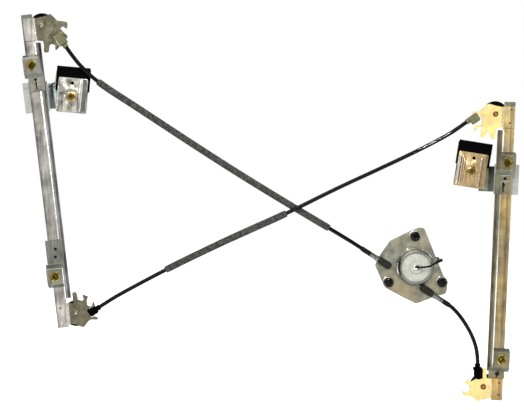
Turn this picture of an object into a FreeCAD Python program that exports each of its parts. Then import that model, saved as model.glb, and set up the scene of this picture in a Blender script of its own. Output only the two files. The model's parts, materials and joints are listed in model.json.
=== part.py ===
import FreeCAD, Part
import math
import os
import Sketcher

# Dual rail cable window regulator, without its motor.
# Frame: +X to the right and +Z up as the object is seen from the front, +Y away from the viewer.
# The origin is on the drum axis, at the back of the drum plate where the motor sits. Millimetres and
# degrees. The sub-parts are drawn with Y counted from the front of the rail faces, and build() moves
# them all into the frame.

Vector = FreeCAD.Vector
Rotation = FreeCAD.Rotation
Placement = FreeCAD.Placement

doc = FreeCAD.newDocument("WindowRegulator")
sheet = doc.addObject("Spreadsheet::Sheet", "Sizes")

DRIVING_SIZES = [
    # Rails: where their middles are, how long they are and how far they lean
    ("left_rail_x", -493.0),
    ("left_rail_z", 128.0),
    ("left_rail_length", 418.5),
    ("left_rail_turn", -6.8),
    ("right_rail_x", 115.7),
    ("right_rail_z", 22.0),
    ("right_rail_length", 396.7),
    ("right_rail_turn", 2.6),
    ("rail_face_width", 15.0),
    ("rail_wall", 1.5),
    ("rail_depth", 9.0),
    ("rail_flange_reach", 6.0),
    ("rail_flange_margin", 38.0),
    # Pulleys and their brackets
    ("pulley_offset", 18.4),
    ("pulley_inset", 17.0),
    ("pulley_radius", 18.6),
    ("pulley_width", 6.0),
    ("pulley_groove_half", 1.6),
    ("pulley_hub_radius", 6.5),
    ("axle_radius", 2.5),
    ("axle_head_radius", 3.6),
    ("axle_head_height", 1.0),
    ("bracket_wall", 2.0),
    ("weld_flange_width", 13.5),
    # Wire rope and conduits
    ("wire_radius", 0.75),
    ("wire_plane", 7.0),
    ("wire_turn_radius", 16.4),
    ("conduit_radius", 2.65),
    ("conduit_lead", 9.0),
    ("sleeve_radius", 4.7),
    ("sleeve_gap", 0.15),
    ("fitting_stand_out", 1.0),
    ("fitting_neck_radius", 3.6),
    ("fitting_neck_length", 5.0),
    ("boot_radius", 5.0),
    # Rail mounts
    ("mount_wall", 1.5),
    ("mount_rise", 8.0),
    ("mount_tab", 21.0),
    ("mount_return", 4.0),
    ("mount_joggle", 6.0),
    ("bush_radius", 7.0),
    ("bush_height", 7.0),
    ("bush_flange", 1.2),
    ("bush_lead_in", 2.2),
    ("bush_mouth_radius", 5.2),
    ("bush_seat_radius", 5.0),
    ("thread_radius", 3.0),
    # Drum and its plate
    ("plate_front", 12.0),
    ("plate_wall", 1.5),
    ("bolt_circle_radius", 41.0),
    ("screw_radius", 3.0),
    ("screw_head_radius", 6.5),
    ("screw_head_height", 4.0),
    ("screw_neck_radius", 2.4),
    ("screw_stand_out", 14.0),
    ("boss_radius", 8.0),
    ("boss_height", 1.5),
    ("drum_radius", 20.5),
    ("drum_wire_radius", 18.0),
    ("drum_front", 2.2),
    ("drum_journal_radius", 9.95),
    ("drum_square", 6.3),
    ("drum_nose_radius", 8.0),
    ("drum_nose_height", 2.5),
    ("housing_inner_radius", 21.8),
    ("housing_wall", 1.2),
    ("housing_front", 0.5),
    ("housing_flange", 1.4),
    ("housing_flare", 1.8),
    ("cable_slope", 33.0),
    # Carriages
    ("left_carriage_height", 99.7),
    ("right_carriage_height", 95.4),
    ("left_clamp_rise", -4.5),
    ("right_clamp_rise", 8.6),
    ("clamp_reach", 45.0),
    ("joggle_reach", 33.0),
    ("arm_length", 34.0),
    ("left_clamp_tilt", 5.0),
    ("right_clamp_tilt", 9.0),
    ("slider_length", 40.0),
    ("slider_outer", 17.0),
    ("slider_inner", 15.0),
    ("slider_back", 11.5),
    ("slide_gap", 0.4),
    ("carrier_wall", 1.5),
    ("jaw_front", 10.8),
    ("jaw_wall", 1.5),
    ("jaw_width", 39.5),
    ("jaw_inner", 19.0),
    ("jaw_ridge", 0.8),
    ("jaw_below", 21.0),
    ("jaw_above", 25.0),
    ("glass_slot", 5.0),
    ("rubber_wall", 1.6),
    ("rubber_top", 40.0),
    ("rubber_seat", 10.0),
    ("rubber_width", 44.6),
    ("clamp_head_radius", 7.0),
    ("clamp_head_height", 2.5),
    ("clamp_screw_radius", 3.0),
    ("nut_corner_radius", 5.8),
    ("nut_height", 5.0),
    ("rivet_margin", 5.5),
    ("rivet_spacing", 24.0),
    ("rivet_head_radius", 3.2),
    ("rivet_head_height", 1.2),
    ("nipple_radius", 2.2),
    ("nipple_length", 7.0),
    # Clearances
    ("hole_gap", 0.3),
    ("running_gap", 0.06),
    ("moving_gap", 0.35),
]


def fill_sheet():
    """Write each size with its name as alias, so that features can be bound to it."""
    for row, (alias, value) in enumerate(DRIVING_SIZES, start=1):
        sheet.set("A%d" % row, alias)
        sheet.set("B%d" % row, str(value))
        sheet.setAlias("B%d" % row, alias)
    doc.recompute()


fill_sheet()


def size(alias):
    """Read one driving size back from the sheet."""
    return float(sheet.get(alias))


def cell_names(expression):
    """Put the sheet's name before every alias in an expression."""
    words = expression.replace("(", " ( ").replace(")", " ) ").split()
    aliases = {alias for alias, value in DRIVING_SIZES}
    return " ".join("Sizes." + word if word in aliases else word for word in words)


# Sketch helpers

def new_body(label):
    body = doc.addObject("PartDesign::Body", label)
    body.Label = label
    return body


def origin_plane(body, role):
    for item in body.Origin.OriginFeatures:
        if item.Role == role:
            return item
    raise ValueError("no plane " + role)


def corner_arc(before, corner, after, radius):
    """Start, middle and end of the arc that rounds a corner."""
    to_before = (before - corner).normalize()
    to_after = (after - corner).normalize()
    half = to_before.getAngle(to_after) / 2
    reach = radius / math.tan(half)
    bisector = (to_before + to_after).normalize()
    middle = corner + bisector * (radius / math.sin(half) - radius)
    return corner + to_before * reach, middle, corner + to_after * reach


def draw_outline(sketch, points):
    """Close an outline of (x, y) or (x, y, corner radius) points with lines and tangent arcs."""
    corners = [Vector(point[0], point[1], 0) for point in points]
    radii = [point[2] if len(point) > 2 else 0 for point in points]
    count = len(corners)
    starts = []
    ends = []
    arcs = []
    for index in range(count):
        if radii[index] > 0:
            start, middle, end = corner_arc(
                corners[index - 1], corners[index], corners[(index + 1) % count], radii[index])
            arcs.append(Part.Arc(start, middle, end))
        else:
            start = corners[index]
            end = corners[index]
        starts.append(start)
        ends.append(end)
    for index in range(count):
        following = (index + 1) % count
        if (starts[following] - ends[index]).Length > 1e-6:
            sketch.addGeometry(Part.LineSegment(ends[index], starts[following]), False)
    for arc in arcs:
        sketch.addGeometry(arc, False)


def draw_circle(sketch, x, y, radius_expression):
    """A circle whose radius is bound to the sheet."""
    index = sketch.addGeometry(Part.Circle(Vector(x, y, 0), Vector(0, 0, 1), 1.0), False)
    constraint = sketch.addConstraint(Sketcher.Constraint("Radius", index, 1.0))
    sketch.setExpression("Constraints[%d]" % constraint, cell_names(radius_expression))


def new_sketch(body, name, role, level="0"):
    """A sketch on one of the body's own planes; level is its place along +Y, or +Z for XY."""
    sketch = body.newObject("Sketcher::SketchObject", name)
    sketch.AttachmentSupport = [(origin_plane(body, role), "")]
    sketch.MapMode = "FlatFace"
    sign = "-1 * " if role == "XZ_Plane" else ""
    sketch.setExpression("AttachmentOffset.Base.z", cell_names(sign + "( " + level + " )"))
    return sketch


def pad(body, name, sketch, length, reverse=False, midplane=False):
    feature = body.newObject("PartDesign::Pad", name)
    feature.Profile = sketch
    feature.setExpression("Length", cell_names(length))
    feature.Reversed = reverse
    feature.Midplane = midplane
    doc.recompute()
    return feature


def pocket(body, name, sketch, length, reverse=False, midplane=False):
    """Cut a sketch out of the body, and make sure that it cut something."""
    before = body.Shape.Volume
    feature = body.newObject("PartDesign::Pocket", name)
    feature.Profile = sketch
    feature.setExpression("Length", cell_names(length))
    feature.Reversed = reverse
    feature.Midplane = midplane
    doc.recompute()
    if body.Shape.Volume >= before - 1e-6:
        raise RuntimeError(body.Label + ": " + name + " cuts nothing")
    return feature


def plate_pad(body, name, outline, level, wall, circles=()):
    """Pad an outline drawn in X and Z backwards from the given level along Y."""
    sketch = new_sketch(body, name + "_sketch", "XZ_Plane", level)
    draw_outline(sketch, outline)
    for x, z, radius in circles:
        draw_circle(sketch, x, z, radius)
    return pad(body, name, sketch, wall, reverse=True)


def plate_cut(body, name, level, wall, outline=(), circles=()):
    """Cut an outline and circles drawn in X and Z, backwards from the given level along Y."""
    sketch = new_sketch(body, name + "_sketch", "XZ_Plane", level)
    if outline:
        draw_outline(sketch, outline)
    for x, z, radius in circles:
        draw_circle(sketch, x, z, radius)
    return pocket(body, name, sketch, wall)


def turned(label, profile):
    """A body turned about its own Y axis from a profile of (radius, y) points."""
    body = new_body(label)
    sketch = new_sketch(body, "profile", "XY_Plane")
    draw_outline(sketch, profile)
    feature = body.newObject("PartDesign::Revolution", "turned_shape")
    feature.Profile = sketch
    feature.ReferenceAxis = (sketch, ["V_Axis"])
    feature.Angle = 360
    doc.recompute()
    return body


def mirrored(points, side):
    """Points for the left rail as they are, for the right rail with X turned round."""
    return [(point[0] * side,) + tuple(point[1:]) for point in points]


def box(x0, x1, z0, z1, radius=0):
    """A rectangle outline with equally rounded corners."""
    return [(x0, z0, radius), (x1, z0, radius), (x1, z1, radius), (x0, z1, radius)]


def turn_points(points, degrees, x0=0.0, z0=0.0):
    """Turn an outline in X and Z by an angle about Y, then move it."""
    cosine = math.cos(math.radians(degrees))
    sine = math.sin(math.radians(degrees))
    result = []
    for point in points:
        x = x0 + point[0] * cosine + point[1] * sine
        z = z0 - point[0] * sine + point[1] * cosine
        result.append((x, z) + tuple(point[2:]))
    return result


# Rails

class Rail:
    """Where one rail stands, and which way its inner side faces."""

    def __init__(self, name):
        self.name = name
        self.side = 1 if name == "left" else -1
        self.length = size(name + "_rail_length")
        self.turn = size(name + "_rail_turn")
        self.placement = Placement(
            Vector(size(name + "_rail_x"), 0, size(name + "_rail_z")),
            Rotation(Vector(0, 1, 0), self.turn))

    def place(self, inward, along, turn=0.0):
        """Placement of a point across and along the rail."""
        local = Placement(Vector(inward * self.side, 0, along), Rotation(Vector(0, 1, 0), turn))
        return self.placement.multiply(local)

    def pulley_height(self, end):
        """Height of a pulley centre along the rail; end is 1 at the top and -1 at the bottom."""
        return end * (self.length / 2 - size("pulley_inset"))


RAILS = {name: Rail(name) for name in ("left", "right")}


def make_rail(rail):
    """Folded channel: face, outer wall and a sloping inner flange that stops short of the ends."""
    half = size("rail_face_width") / 2
    wall = size("rail_wall")
    depth = size("rail_depth")
    reach = size("rail_flange_reach")
    body = new_body(rail.name + "_rail")
    section = new_sketch(body, "channel_section", "XY_Plane")
    draw_outline(section, mirrored([
        (-half, 0, wall), (half, 0), (half, wall), (-half + wall, wall), (-half + wall, depth),
        (-half, depth)], rail.side))
    pad(body, "channel", section, rail.name + "_rail_length", midplane=True)
    flange = new_sketch(body, "flange_section", "XY_Plane")
    draw_outline(flange, mirrored([
        (half - wall / 2, 0), (half, 0), (half + reach, depth - wall), (half + reach, depth),
        (half + reach - wall, depth), (half + reach - wall, depth - wall / 2),
        (half - wall / 2, wall)], rail.side))
    pad(body, "flange", flange, rail.name + "_rail_length - 2 * rail_flange_margin", midplane=True)
    body.Placement = rail.placement
    return body


# Pulley brackets: outlines across (inward) and along the rail, from the pulley centre

BRACKET_OUTLINES = {
    ("left", 1): [
        (-12.9, 11.4), (-6.4, 11.1, 0.5), (3.6, 12, 0.5), (8.3, 13.1, 2), (13.5, 14.7, 2),
        (17.9, 9, 2), (21.5, 4.4, 2), (27.3, 3.3, 1), (33.7, 1.1, 1.5), (34.2, -1.7, 1),
        (32.5, -8, 0.8), (28.2, -4.2, 1), (23.6, -5.2, 1), (26.7, -10.2, 1), (32.3, -16.9, 1.5),
        (31.4, -21, 1), (20.3, -16, 2), (15.8, -21.2, 2), (20.6, -29.9, 0.8), (14.4, -34.7, 0.5),
        (14.5, -27.3, 1), (10.2, -25.1, 2), (7.2, -26.9, 1), (5, -35.3, 1.2), (0.7, -36.1, 1.2),
        (-1.3, -33.8, 1.2), (0.1, -24.8, 0.6), (-0.7, -20.2, 0.6), (-13.5, -18.4)],
    ("left", -1): [
        (-15.4, -12.6), (-8.5, -13.4, 0.5), (0.4, -14.8, 0.5), (3.4, -18.1, 1.5),
        (8.4, -19.7, 1.5), (14.8, -12.9, 1.5), (18.6, -10.8, 1), (28.1, -12, 1), (27.7, -8.2, 1),
        (18.5, -5.5, 1), (16.4, 2.5, 1.5), (20.5, 5, 1), (26.4, 6.7, 0.5), (24.5, 13.5, 0.4),
        (22.2, 8, 1), (19.7, 6.3, 1.5), (16.1, 9, 1.5), (16.1, 14.6, 1), (18.4, 20.2, 0.8),
        (11.2, 24.3, 0.8), (12.2, 17, 1), (9.6, 15.4, 1), (6.6, 15, 1), (4.8, 16.5, 1),
        (4.1, 24.8, 1), (2.7, 28.3, 1.2), (-1.9, 27.9, 1.2), (-2, 13.4, 1), (-12.2, 14.5)],
    ("right", 1): [
        (-10, 9.7), (-6.5, 10, 0.5), (3.3, 11.7, 0.5), (7.5, 12.9, 1.5), (12.2, 12.4, 2),
        (15.5, 8.9, 1.5), (17.4, 5.4, 1.5), (19.9, 3.1, 1), (30.1, 2, 1), (31.3, -2.1, 0.6),
        (21.7, -1.1, 2), (16.6, -7.7, 2), (18.7, -14.8, 2), (25.6, -16.2, 1), (29.3, -18.9, 1),
        (25.5, -24.4, 1), (21.8, -18.1, 1), (16.7, -17.4, 1), (19.4, -31.2, 1), (12.9, -31.9, 1),
        (11.1, -24, 1.5), (8.4, -24.1, 1.5), (4, -32.9, 1), (-0.7, -34.2, 1), (-1.5, -22.4, 1),
        (-2.2, -18.6, 0.5), (-11.2, -17.6)],
    ("right", -1): [
        (-12.7, -14.7), (-8.4, -15.4, 0.5), (0.6, -16.3, 0.5), (6.4, -20.3, 2), (10.2, -17.8, 2),
        (16.4, -13.6, 1.5), (26.7, -13, 1), (27.1, -5.8, 1), (24.3, -7.8, 0.6), (18.7, -7.6, 1.5),
        (17.7, -2.7, 1.5), (16.9, 3.4, 1.2), (20.8, 0.8, 0.8), (24.7, 4.5, 0.5), (21.3, 9.9, 0.5),
        (17.1, 5.7, 1.2), (12.9, 8.1, 1.2), (10.6, 10.1, 1), (6.5, 9, 1), (1.5, 10.8, 1),
        (1.8, 25, 1), (-3, 25.6, 1), (-3.9, 11.6, 1), (-11.5, 11.8)],
}

# Where the conduit leaves each bracket: across, along and direction in degrees, the length of the
# fitting beside the pulley, its length in front, and its reach below and above its axis

CABLE_EXITS = {
    ("left", 1): (28.5, -31.4, -62.8, 20.0, 20.0, 5.8, 5.8),
    ("left", -1): (31.6, 4.4, 26.2, 11.0, 16.0, 5.5, 5.5),
    ("right", 1): (37.3, -12.2, -37.6, 17.0, 17.0, 8.0, 3.6),
    ("right", -1): (8.0, 29.8, 87.4, 9.0, 19.0, 5.8, 5.8),
}

END_NAMES = {1: "upper", -1: "lower"}


def end_name(rail, end):
    return END_NAMES[end] + "_" + rail.name


def fitting_window(rail, end):
    """Outline, in the bracket's frame, of the opening that the front of a cable fitting fills."""
    across, along, direction = CABLE_EXITS[(rail.name, end)][:3]
    front, low, high = CABLE_EXITS[(rail.name, end)][4:]
    gap = size("hole_gap")
    window = box(-front - gap, gap - size("fitting_neck_length"), -low - gap, high + gap)
    return turn_points(window, -direction, across, along)


def make_bracket(rail, end):
    """Stamped bracket: flange welded on the rail face, joggle, and a clawed plate for the axle."""
    body = new_body(end_name(rail, end) + "_pulley_bracket")
    outline = list(BRACKET_OUTLINES[(rail.name, end)])
    wall = size("bracket_wall")
    seat = size("rail_wall")
    step = size("rail_face_width") / 2 + size("hole_gap") - size("pulley_offset")
    bottom, top = sorted((outline[0][1], outline[-1][1]))
    for index in (0, -1):
        outline[index] = (step + 0.8 * wall, outline[index][1])
    plate_pad(body, "plate", mirrored(outline, rail.side), "rail_wall", "bracket_wall")
    section = new_sketch(body, "joggle_section", "XY_Plane", "%.3f" % bottom)
    draw_outline(section, mirrored([
        (step - size("weld_flange_width"), -wall), (step + wall, -wall, 0.6 * wall),
        (step + 1.5 * wall, seat), (step + 1.5 * wall, seat + wall), (step + 0.5 * wall, seat + wall),
        (step, 0), (step - size("weld_flange_width"), 0)], rail.side))
    pad(body, "joggle", section, "%.3f" % (top - bottom))
    plate_cut(body, "axle_hole", "rail_wall", "bracket_wall", circles=[(0, 0, "axle_radius")])
    plate_cut(body, "fitting_window", "rail_wall", "bracket_wall",
              outline=mirrored(fitting_window(rail, end), rail.side))
    body.Placement = rail.place(size("pulley_offset"), rail.pulley_height(end))
    return body


def make_pulley(rail, end):
    """Grooved wheel with a thinner web and a hub that runs on the axle."""
    outer = size("pulley_radius")
    groove = size("wire_turn_radius") - size("wire_radius") - size("moving_gap")
    half = size("pulley_width") / 2
    groove_half = size("pulley_groove_half")
    hub = size("pulley_hub_radius")
    bore = size("axle_radius") + size("running_gap")
    web_half = half / 2
    rim = groove - 2 * size("wire_radius")
    centre = size("wire_plane")
    profile = [
        (bore, centre - half), (hub, centre - half), (hub, centre - web_half),
        (rim, centre - web_half), (rim, centre - half), (outer, centre - half),
        (groove, centre - groove_half / 3), (groove, centre + groove_half / 3),
        (outer, centre + half), (rim, centre + half), (rim, centre + web_half),
        (hub, centre + web_half), (hub, centre + half), (bore, centre + half)]
    body = turned(end_name(rail, end) + "_pulley", profile)
    body.Placement = rail.place(size("pulley_offset"), rail.pulley_height(end))
    return body


def make_axle_profile():
    """Rivet: head on the front of the bracket, shank, and upset head behind the pulley."""
    shank = size("axle_radius")
    head = size("axle_head_radius")
    front = size("rail_wall")
    back = size("wire_plane") + size("pulley_width") / 2 + size("hole_gap")
    height = size("axle_head_height")
    return [(0, front - height), (head - height, front - height), (head, front), (shank, front),
            (shank, back), (head, back), (head - height, back + height), (0, back + height)]


def exit_frame(rail, end):
    """Placement of the conduit's exit, with its own X along the conduit."""
    across, along, direction = CABLE_EXITS[(rail.name, end)][:3]
    heading = direction if rail.side > 0 else 180 - direction
    centre = rail.place(size("pulley_offset") + across, rail.pulley_height(end) + along)
    local = Placement(Vector(0, size("wire_plane"), 0), Rotation(Vector(0, 1, 0), -heading))
    return centre.multiply(local)


def exit_point(rail, end, before=0.0):
    """A point on the conduit's axis, so far before the exit."""
    return exit_frame(rail, end).multVec(Vector(-before, 0, 0))


# Cable routes

def tangent_radius(before, corner, after):
    """Radius of the arc at a point: 0.45 of the shorter run over the tangent of half the turn."""
    shorter = min((corner - before).Length, (after - corner).Length)
    turn = (corner - before).getAngle(after - corner)
    return 0.45 * shorter / math.tan(turn / 2)


def route_edges(points):
    """Straight runs joined by tangent arcs, as large as the runs beside each point allow."""
    edges = []
    start = points[0]
    for before, corner, after in zip(points, points[1:], points[2:]):
        radius = tangent_radius(before, corner, after)
        arc_start, middle, arc_end = corner_arc(before, corner, after, radius)
        edges.append(Part.LineSegment(start, arc_start).toShape())
        edges.append(Part.Arc(arc_start, middle, arc_end).toShape())
        start = arc_end
    edges.append(Part.LineSegment(start, points[-1]).toShape())
    return edges


def tube(edges, radius):
    """Round solid along edges that follow each other smoothly."""
    wire = Part.Wire(edges)
    first = edges[0]
    start = first.valueAt(first.FirstParameter)
    heading = first.tangentAt(first.FirstParameter)
    section = Part.Wire([Part.makeCircle(radius, start, heading)])
    solid = Part.Solid(wire.makePipeShell([section], True, False))
    expected = math.pi * radius ** 2 * wire.Length
    if abs(solid.Volume / expected - 1) > 0.01:
        raise RuntimeError("tube volume is off: %.1f for %.1f" % (solid.Volume, expected))
    return solid


def add_shape(label, shape):
    """A sub-part whose shape is set directly, for what follows a route in space."""
    feature = doc.addObject("Part::Feature", label)
    feature.Label = label
    feature.Shape = shape
    return feature


def group(label, members):
    """One sub-part made of several separate solids."""
    compound = doc.addObject("Part::Compound", label)
    compound.Label = label
    compound.Links = members
    doc.recompute()
    return compound


# Drum frame: the cables meet the drum on one line, tangent at its lower left

def drum_line(along):
    """Point on the line that both drum cables lie on; along counts from the drum's tangent point."""
    slope = math.radians(size("cable_slope"))
    touch = Vector(-math.sin(slope), 0, -math.cos(slope)) * size("drum_wire_radius")
    heading = Vector(math.cos(slope), 0, -math.sin(slope))
    return touch + heading * along + Vector(0, size("wire_plane"), 0)


# Ends of the boot, ferrule and slack spring collar on each drum cable, from the tangent point

DRUM_FITTINGS = {
    "upper": {"boot": (-28.0, -47.5), "ferrule": (-47.5, -60.5), "collar": (-60.5, -74.5)},
    "lower": {"boot": (20.0, 39.0), "ferrule": (39.0, 54.5), "collar": (54.5, 65.0)},
}

# Points that the conduits pass between their ends, by hand from the object

UPPER_ROUTE = [(-447, 7, 268.5), (-423.5, 7.2, 246.5), (-372, 8.5, 213.5), (-300, 10, 166),
               (-229, 11, 120.5), (-160, 11, 78.6), (-116, 9, 52.5)]
CROSS_ROUTE = [(-391, 6.5, -34), (-334, 5, -3.5), (-281, 4, 22.5), (-227, 3, 47.5), (-173, 2.5, 71.3),
               (-106, 2.5, 105), (-50, 4, 130.5), (5, 5.5, 156.5), (44, 6.7, 177)]
LOWER_ROUTE = [(60.5, 4.6, -66.5), (72, 3.8, -85), (79.5, 4.8, -103)]


def vectors(points):
    return [Vector(*point) for point in points]


def conduit_points():
    """The three routes from end to end, each straight for a short way out of its fittings."""
    lead = size("conduit_lead")
    left, right = RAILS["left"], RAILS["right"]
    upper_end = DRUM_FITTINGS["upper"]["collar"][1]
    lower_end = DRUM_FITTINGS["lower"]["collar"][1]
    upper = [exit_point(left, 1), exit_point(left, 1, -lead)] + vectors(UPPER_ROUTE)
    upper += [drum_line(upper_end - 2 * lead), drum_line(upper_end)]
    cross = [exit_point(left, -1), exit_point(left, -1, -2 * lead)] + vectors(CROSS_ROUTE)
    cross += [exit_point(right, 1, -lead), exit_point(right, 1)]
    lower = [drum_line(lower_end), drum_line(lower_end + lead / 2)] + vectors(LOWER_ROUTE)
    lower += [exit_point(right, -1, -lead), exit_point(right, -1)]
    return {"upper_conduit": upper, "cross_conduit": cross, "lower_conduit": lower}


# Route points between which a foam sleeve covers the conduit

SLEEVED_POINTS = {"upper_conduit": (3, 8), "cross_conduit": (3, 6)}


def half_arc(arc, start, end):
    """Part of an arc edge between two shares of its length."""
    first = arc.FirstParameter
    span = arc.LastParameter - first
    return Part.Edge(arc.Curve, first + start * span, first + end * span)


def make_conduits():
    made = []
    radius = size("conduit_radius")
    for label, points in conduit_points().items():
        edges = route_edges(points)
        radii = [tangent_radius(*three) for three in zip(points, points[1:], points[2:])]
        length = sum(edge.Length for edge in edges)
        print(label, "length %.0f" % length, "radii", " ".join("%.0f" % item for item in radii))
        made.append(add_shape(label, tube(edges, radius)))
        if label in SLEEVED_POINTS:
            first, last = SLEEVED_POINTS[label]
            covered = [half_arc(edges[2 * first - 1], 0.5, 1)]
            covered += edges[2 * first:2 * last - 1]
            covered += [half_arc(edges[2 * last - 1], 0, 0.5)]
            outside = tube(covered, size("sleeve_radius"))
            inside = tube(covered, radius + size("sleeve_gap"))
            sleeve = add_shape(label.replace("conduit", "sleeve"), outside.cut(inside))
            made.append(sleeve)
    return made


def tangent_point(centre, point, radius, end):
    """Where a wire from a point touches a pulley; angle on the pulley, in radians."""
    away = point - centre
    return math.atan2(away.y, away.x) + end * math.acos(radius / away.Length)


def make_rail_cable(rail):
    """Wire along the rail, over the upper pulley and under the lower one, into both end fittings."""
    radius = size("wire_turn_radius")
    end_gap = 2 * size("hole_gap")
    stations = {}
    for end in (1, -1):
        across, along, direction, length = CABLE_EXITS[(rail.name, end)][:4]
        heading = Vector(math.cos(math.radians(direction)), math.sin(math.radians(direction)), 0)
        centre = Vector(size("pulley_offset"), rail.pulley_height(end), 0)
        entry = centre + Vector(across, along, 0) - heading * (length + end_gap)
        angle = tangent_point(centre, entry, radius, end)
        touch = centre + Vector(math.cos(angle), math.sin(angle), 0) * radius
        half_way = (angle + end * math.pi) / 2
        top = centre + Vector(math.cos(half_way), math.sin(half_way), 0) * radius
        beside = centre - Vector(radius, 0, 0)
        stations[end] = [entry, touch, top, beside]

    def in_place(point):
        return rail.placement.multVec(Vector(point.x * rail.side, size("wire_plane"), point.y))

    upper = [in_place(point) for point in stations[1]]
    lower = [in_place(point) for point in stations[-1]]
    edges = [
        Part.LineSegment(upper[0], upper[1]).toShape(),
        Part.Arc(upper[1], upper[2], upper[3]).toShape(),
        Part.LineSegment(upper[3], lower[3]).toShape(),
        Part.Arc(lower[3], lower[2], lower[1]).toShape(),
        Part.LineSegment(lower[1], lower[0]).toShape()]
    return add_shape(rail.name + "_rail_cable", tube(edges, size("wire_radius")))


def make_end_fitting(rail, end):
    """Plastic block with a neck where the conduit ends, seen through its window in the bracket."""
    length, front, low, high = CABLE_EXITS[(rail.name, end)][3:]
    neck = size("fitting_neck_length")
    stand_out = size("fitting_stand_out")
    seat = size("rail_wall") + size("bracket_wall")
    if rail.side < 0:
        low, high = high, low
    body = new_body(end_name(rail, end) + "_cable_end")
    block = new_sketch(body, "block_sketch", "XZ_Plane", "rail_wall + bracket_wall")
    draw_outline(block, box(-length, -min(neck, length / 2), -low, high, 1.5))
    pad(body, "block", block, "2 * ( wire_plane - rail_wall - bracket_wall )", reverse=True)
    face = new_sketch(body, "face_sketch", "XZ_Plane", "rail_wall - fitting_stand_out")
    draw_outline(face, box(-front, -neck, -low, high, 2.5))
    pad(body, "face", face, "%.3f" % (seat - size("rail_wall") + stand_out), reverse=True)
    collar = new_sketch(body, "neck_sketch", "YZ_Plane", "0 - %.2f" % (neck + 0.5))
    draw_circle(collar, size("wire_plane"), 0, "fitting_neck_radius")
    pad(body, "neck", collar, "%.2f" % (neck + 0.5))
    frame = exit_frame(rail, end)
    body.Placement = frame.multiply(Placement(Vector(0, -size("wire_plane"), 0), Rotation()))
    return body


def make_drum_fittings(name):
    """Boot, ferrule and collar on the line of a drum cable, with the wire from the boot to the drum."""
    made = []
    ends = DRUM_FITTINGS[name]
    sign = 1 if ends["boot"][0] > 0 else -1
    radii = {"boot": size("boot_radius"), "ferrule": size("fitting_neck_radius") + 0.4,
             "collar": size("fitting_neck_radius")}
    for kind, (start, end) in ends.items():
        length = abs(end - start)
        radius = radii[kind]
        if kind == "boot":
            profile = [(0, 0), (0.45 * radius, 0), (0.6 * radius, 0.25 * length),
                       (radius, 0.45 * length), (radius, length), (0, length)]
        elif kind == "ferrule":
            profile = [(0, 0), (radius, 0, 0.5), (radius, 0.3 * length), (0.85 * radius, 0.36 * length),
                       (0.85 * radius, length), (0, length)]
        else:
            profile = [(0, 0), (radius, 0), (radius, length), (0, length)]
        body = turned(name + "_drum_" + kind, profile)
        turn = Rotation(Vector(0, 1, 0), drum_line(sign) - drum_line(0))
        body.Placement = Placement(drum_line(start), turn)
        made.append(body)
    line = Part.LineSegment(drum_line(sign * 0.5), drum_line(ends["boot"][0])).toShape()
    made.append(add_shape(name + "_drum_cable", tube([line], size("wire_radius"))))
    return made


# Rail mounts: place across and along the rail, which way the weld flange goes, its length, and how
# far it is shifted inwards from the tab

RAIL_MOUNTS = {
    ("left", "upper"): (-0.5, 141.0, -1, 18.0, 3.5),
    ("left", "lower"): (-2.5, -140.4, 1, 32.0, 2.0),
    ("right", "upper"): (0.5, 117.0, -1, 25.0, 4.5),
    ("right", "lower"): (-3.0, -143.4, -1, 9.2, 5.3),
}


def make_mount_bracket(rail, name):
    """Raised square tab with a bent return, joggled down to a weld flange with a keyhole."""
    across, along, direction, flange, shift = RAIL_MOUNTS[(rail.name, name)]
    wall = size("mount_wall")
    rise = size("mount_rise")
    half = size("mount_tab") / 2
    back = half + size("mount_return")
    foot = half + size("mount_joggle")
    end = foot + flange
    body = new_body(name + "_" + rail.name + "_mount_bracket")
    profile = [
        (0, -back), (-rise, -half, wall), (-rise, half, wall), (-wall, foot, wall / 2), (-wall, end),
        (0, end), (0, foot - wall / 2), (wall - rise, half - wall / 2),
        (wall - rise, wall / 2 - half), (0, wall - back)]
    outer = -half if rail.side > 0 else -half - shift
    sketch = new_sketch(body, "folded_profile", "YZ_Plane", "%.3f" % outer)
    draw_outline(sketch, [(y, z * direction) + tuple(rest) for y, z, *rest in profile])
    pad(body, "folded_plate", sketch, "%.3f" % (2 * half + shift))
    beyond = half + shift + 1

    def corner_cut(label, x0, x1, z0, z1):
        z0, z1 = sorted((z0 * direction, z1 * direction))
        plate_cut(body, label, "0 - mount_rise", "mount_rise",
                  outline=mirrored(box(x0, x1, z0, z1), rail.side))

    corner_cut("tab_side", half, beyond, -back - 1, half)
    corner_cut("flange_side", -half - 1, shift - half, foot, end + 1)
    plate_cut(body, "bush_hole", "0 - mount_rise", "mount_wall", circles=[(0, 0, "bush_seat_radius")])
    middle = direction * (foot + 0.45 * flange)
    slot = direction * 0.5 * flange
    plate_cut(body, "keyhole", "0 - mount_wall", "mount_wall",
              outline=mirrored(box(shift - 1.2, shift + 1.2, *sorted((middle, middle + slot)), 1.0),
                               rail.side))
    plate_cut(body, "keyhole_eye", "0 - mount_wall", "mount_wall",
              circles=[(shift * rail.side, middle, "mount_wall * 1.4")])
    body.Placement = rail.place(across, along)
    return body


def make_bush(rail, name):
    """Threaded bush with a round flange on the front of the tab and a wide lead in to its thread."""
    across, along = RAIL_MOUNTS[(rail.name, name)][:2]
    seat = -size("mount_rise")
    front = seat - size("bush_flange")
    rim = size("bush_radius")
    shell = size("bush_seat_radius")
    thread = size("thread_radius")
    tip = front + size("bush_height")
    body = turned("bush_" + name + "_" + rail.name, [
        (size("bush_mouth_radius"), front), (rim - 0.6, front), (rim, front + 0.6), (rim, seat),
        (shell, seat), (shell, tip), (thread, tip), (thread, front + size("bush_lead_in"))])
    body.Placement = rail.place(across, along)
    return body


# Drum unit

PLATE_OUTLINE = [
    (5, 53, 5), (12, 52, 4), (43, -24, 5), (41.5, -36, 6), (30, -38, 6), (1, -49, 5), (-19, -39, 5),
    (-41, -27, 8), (-54, 3, 5), (-46, 18, 5), (-34, 35, 5), (-14, 45, 5)]

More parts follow.
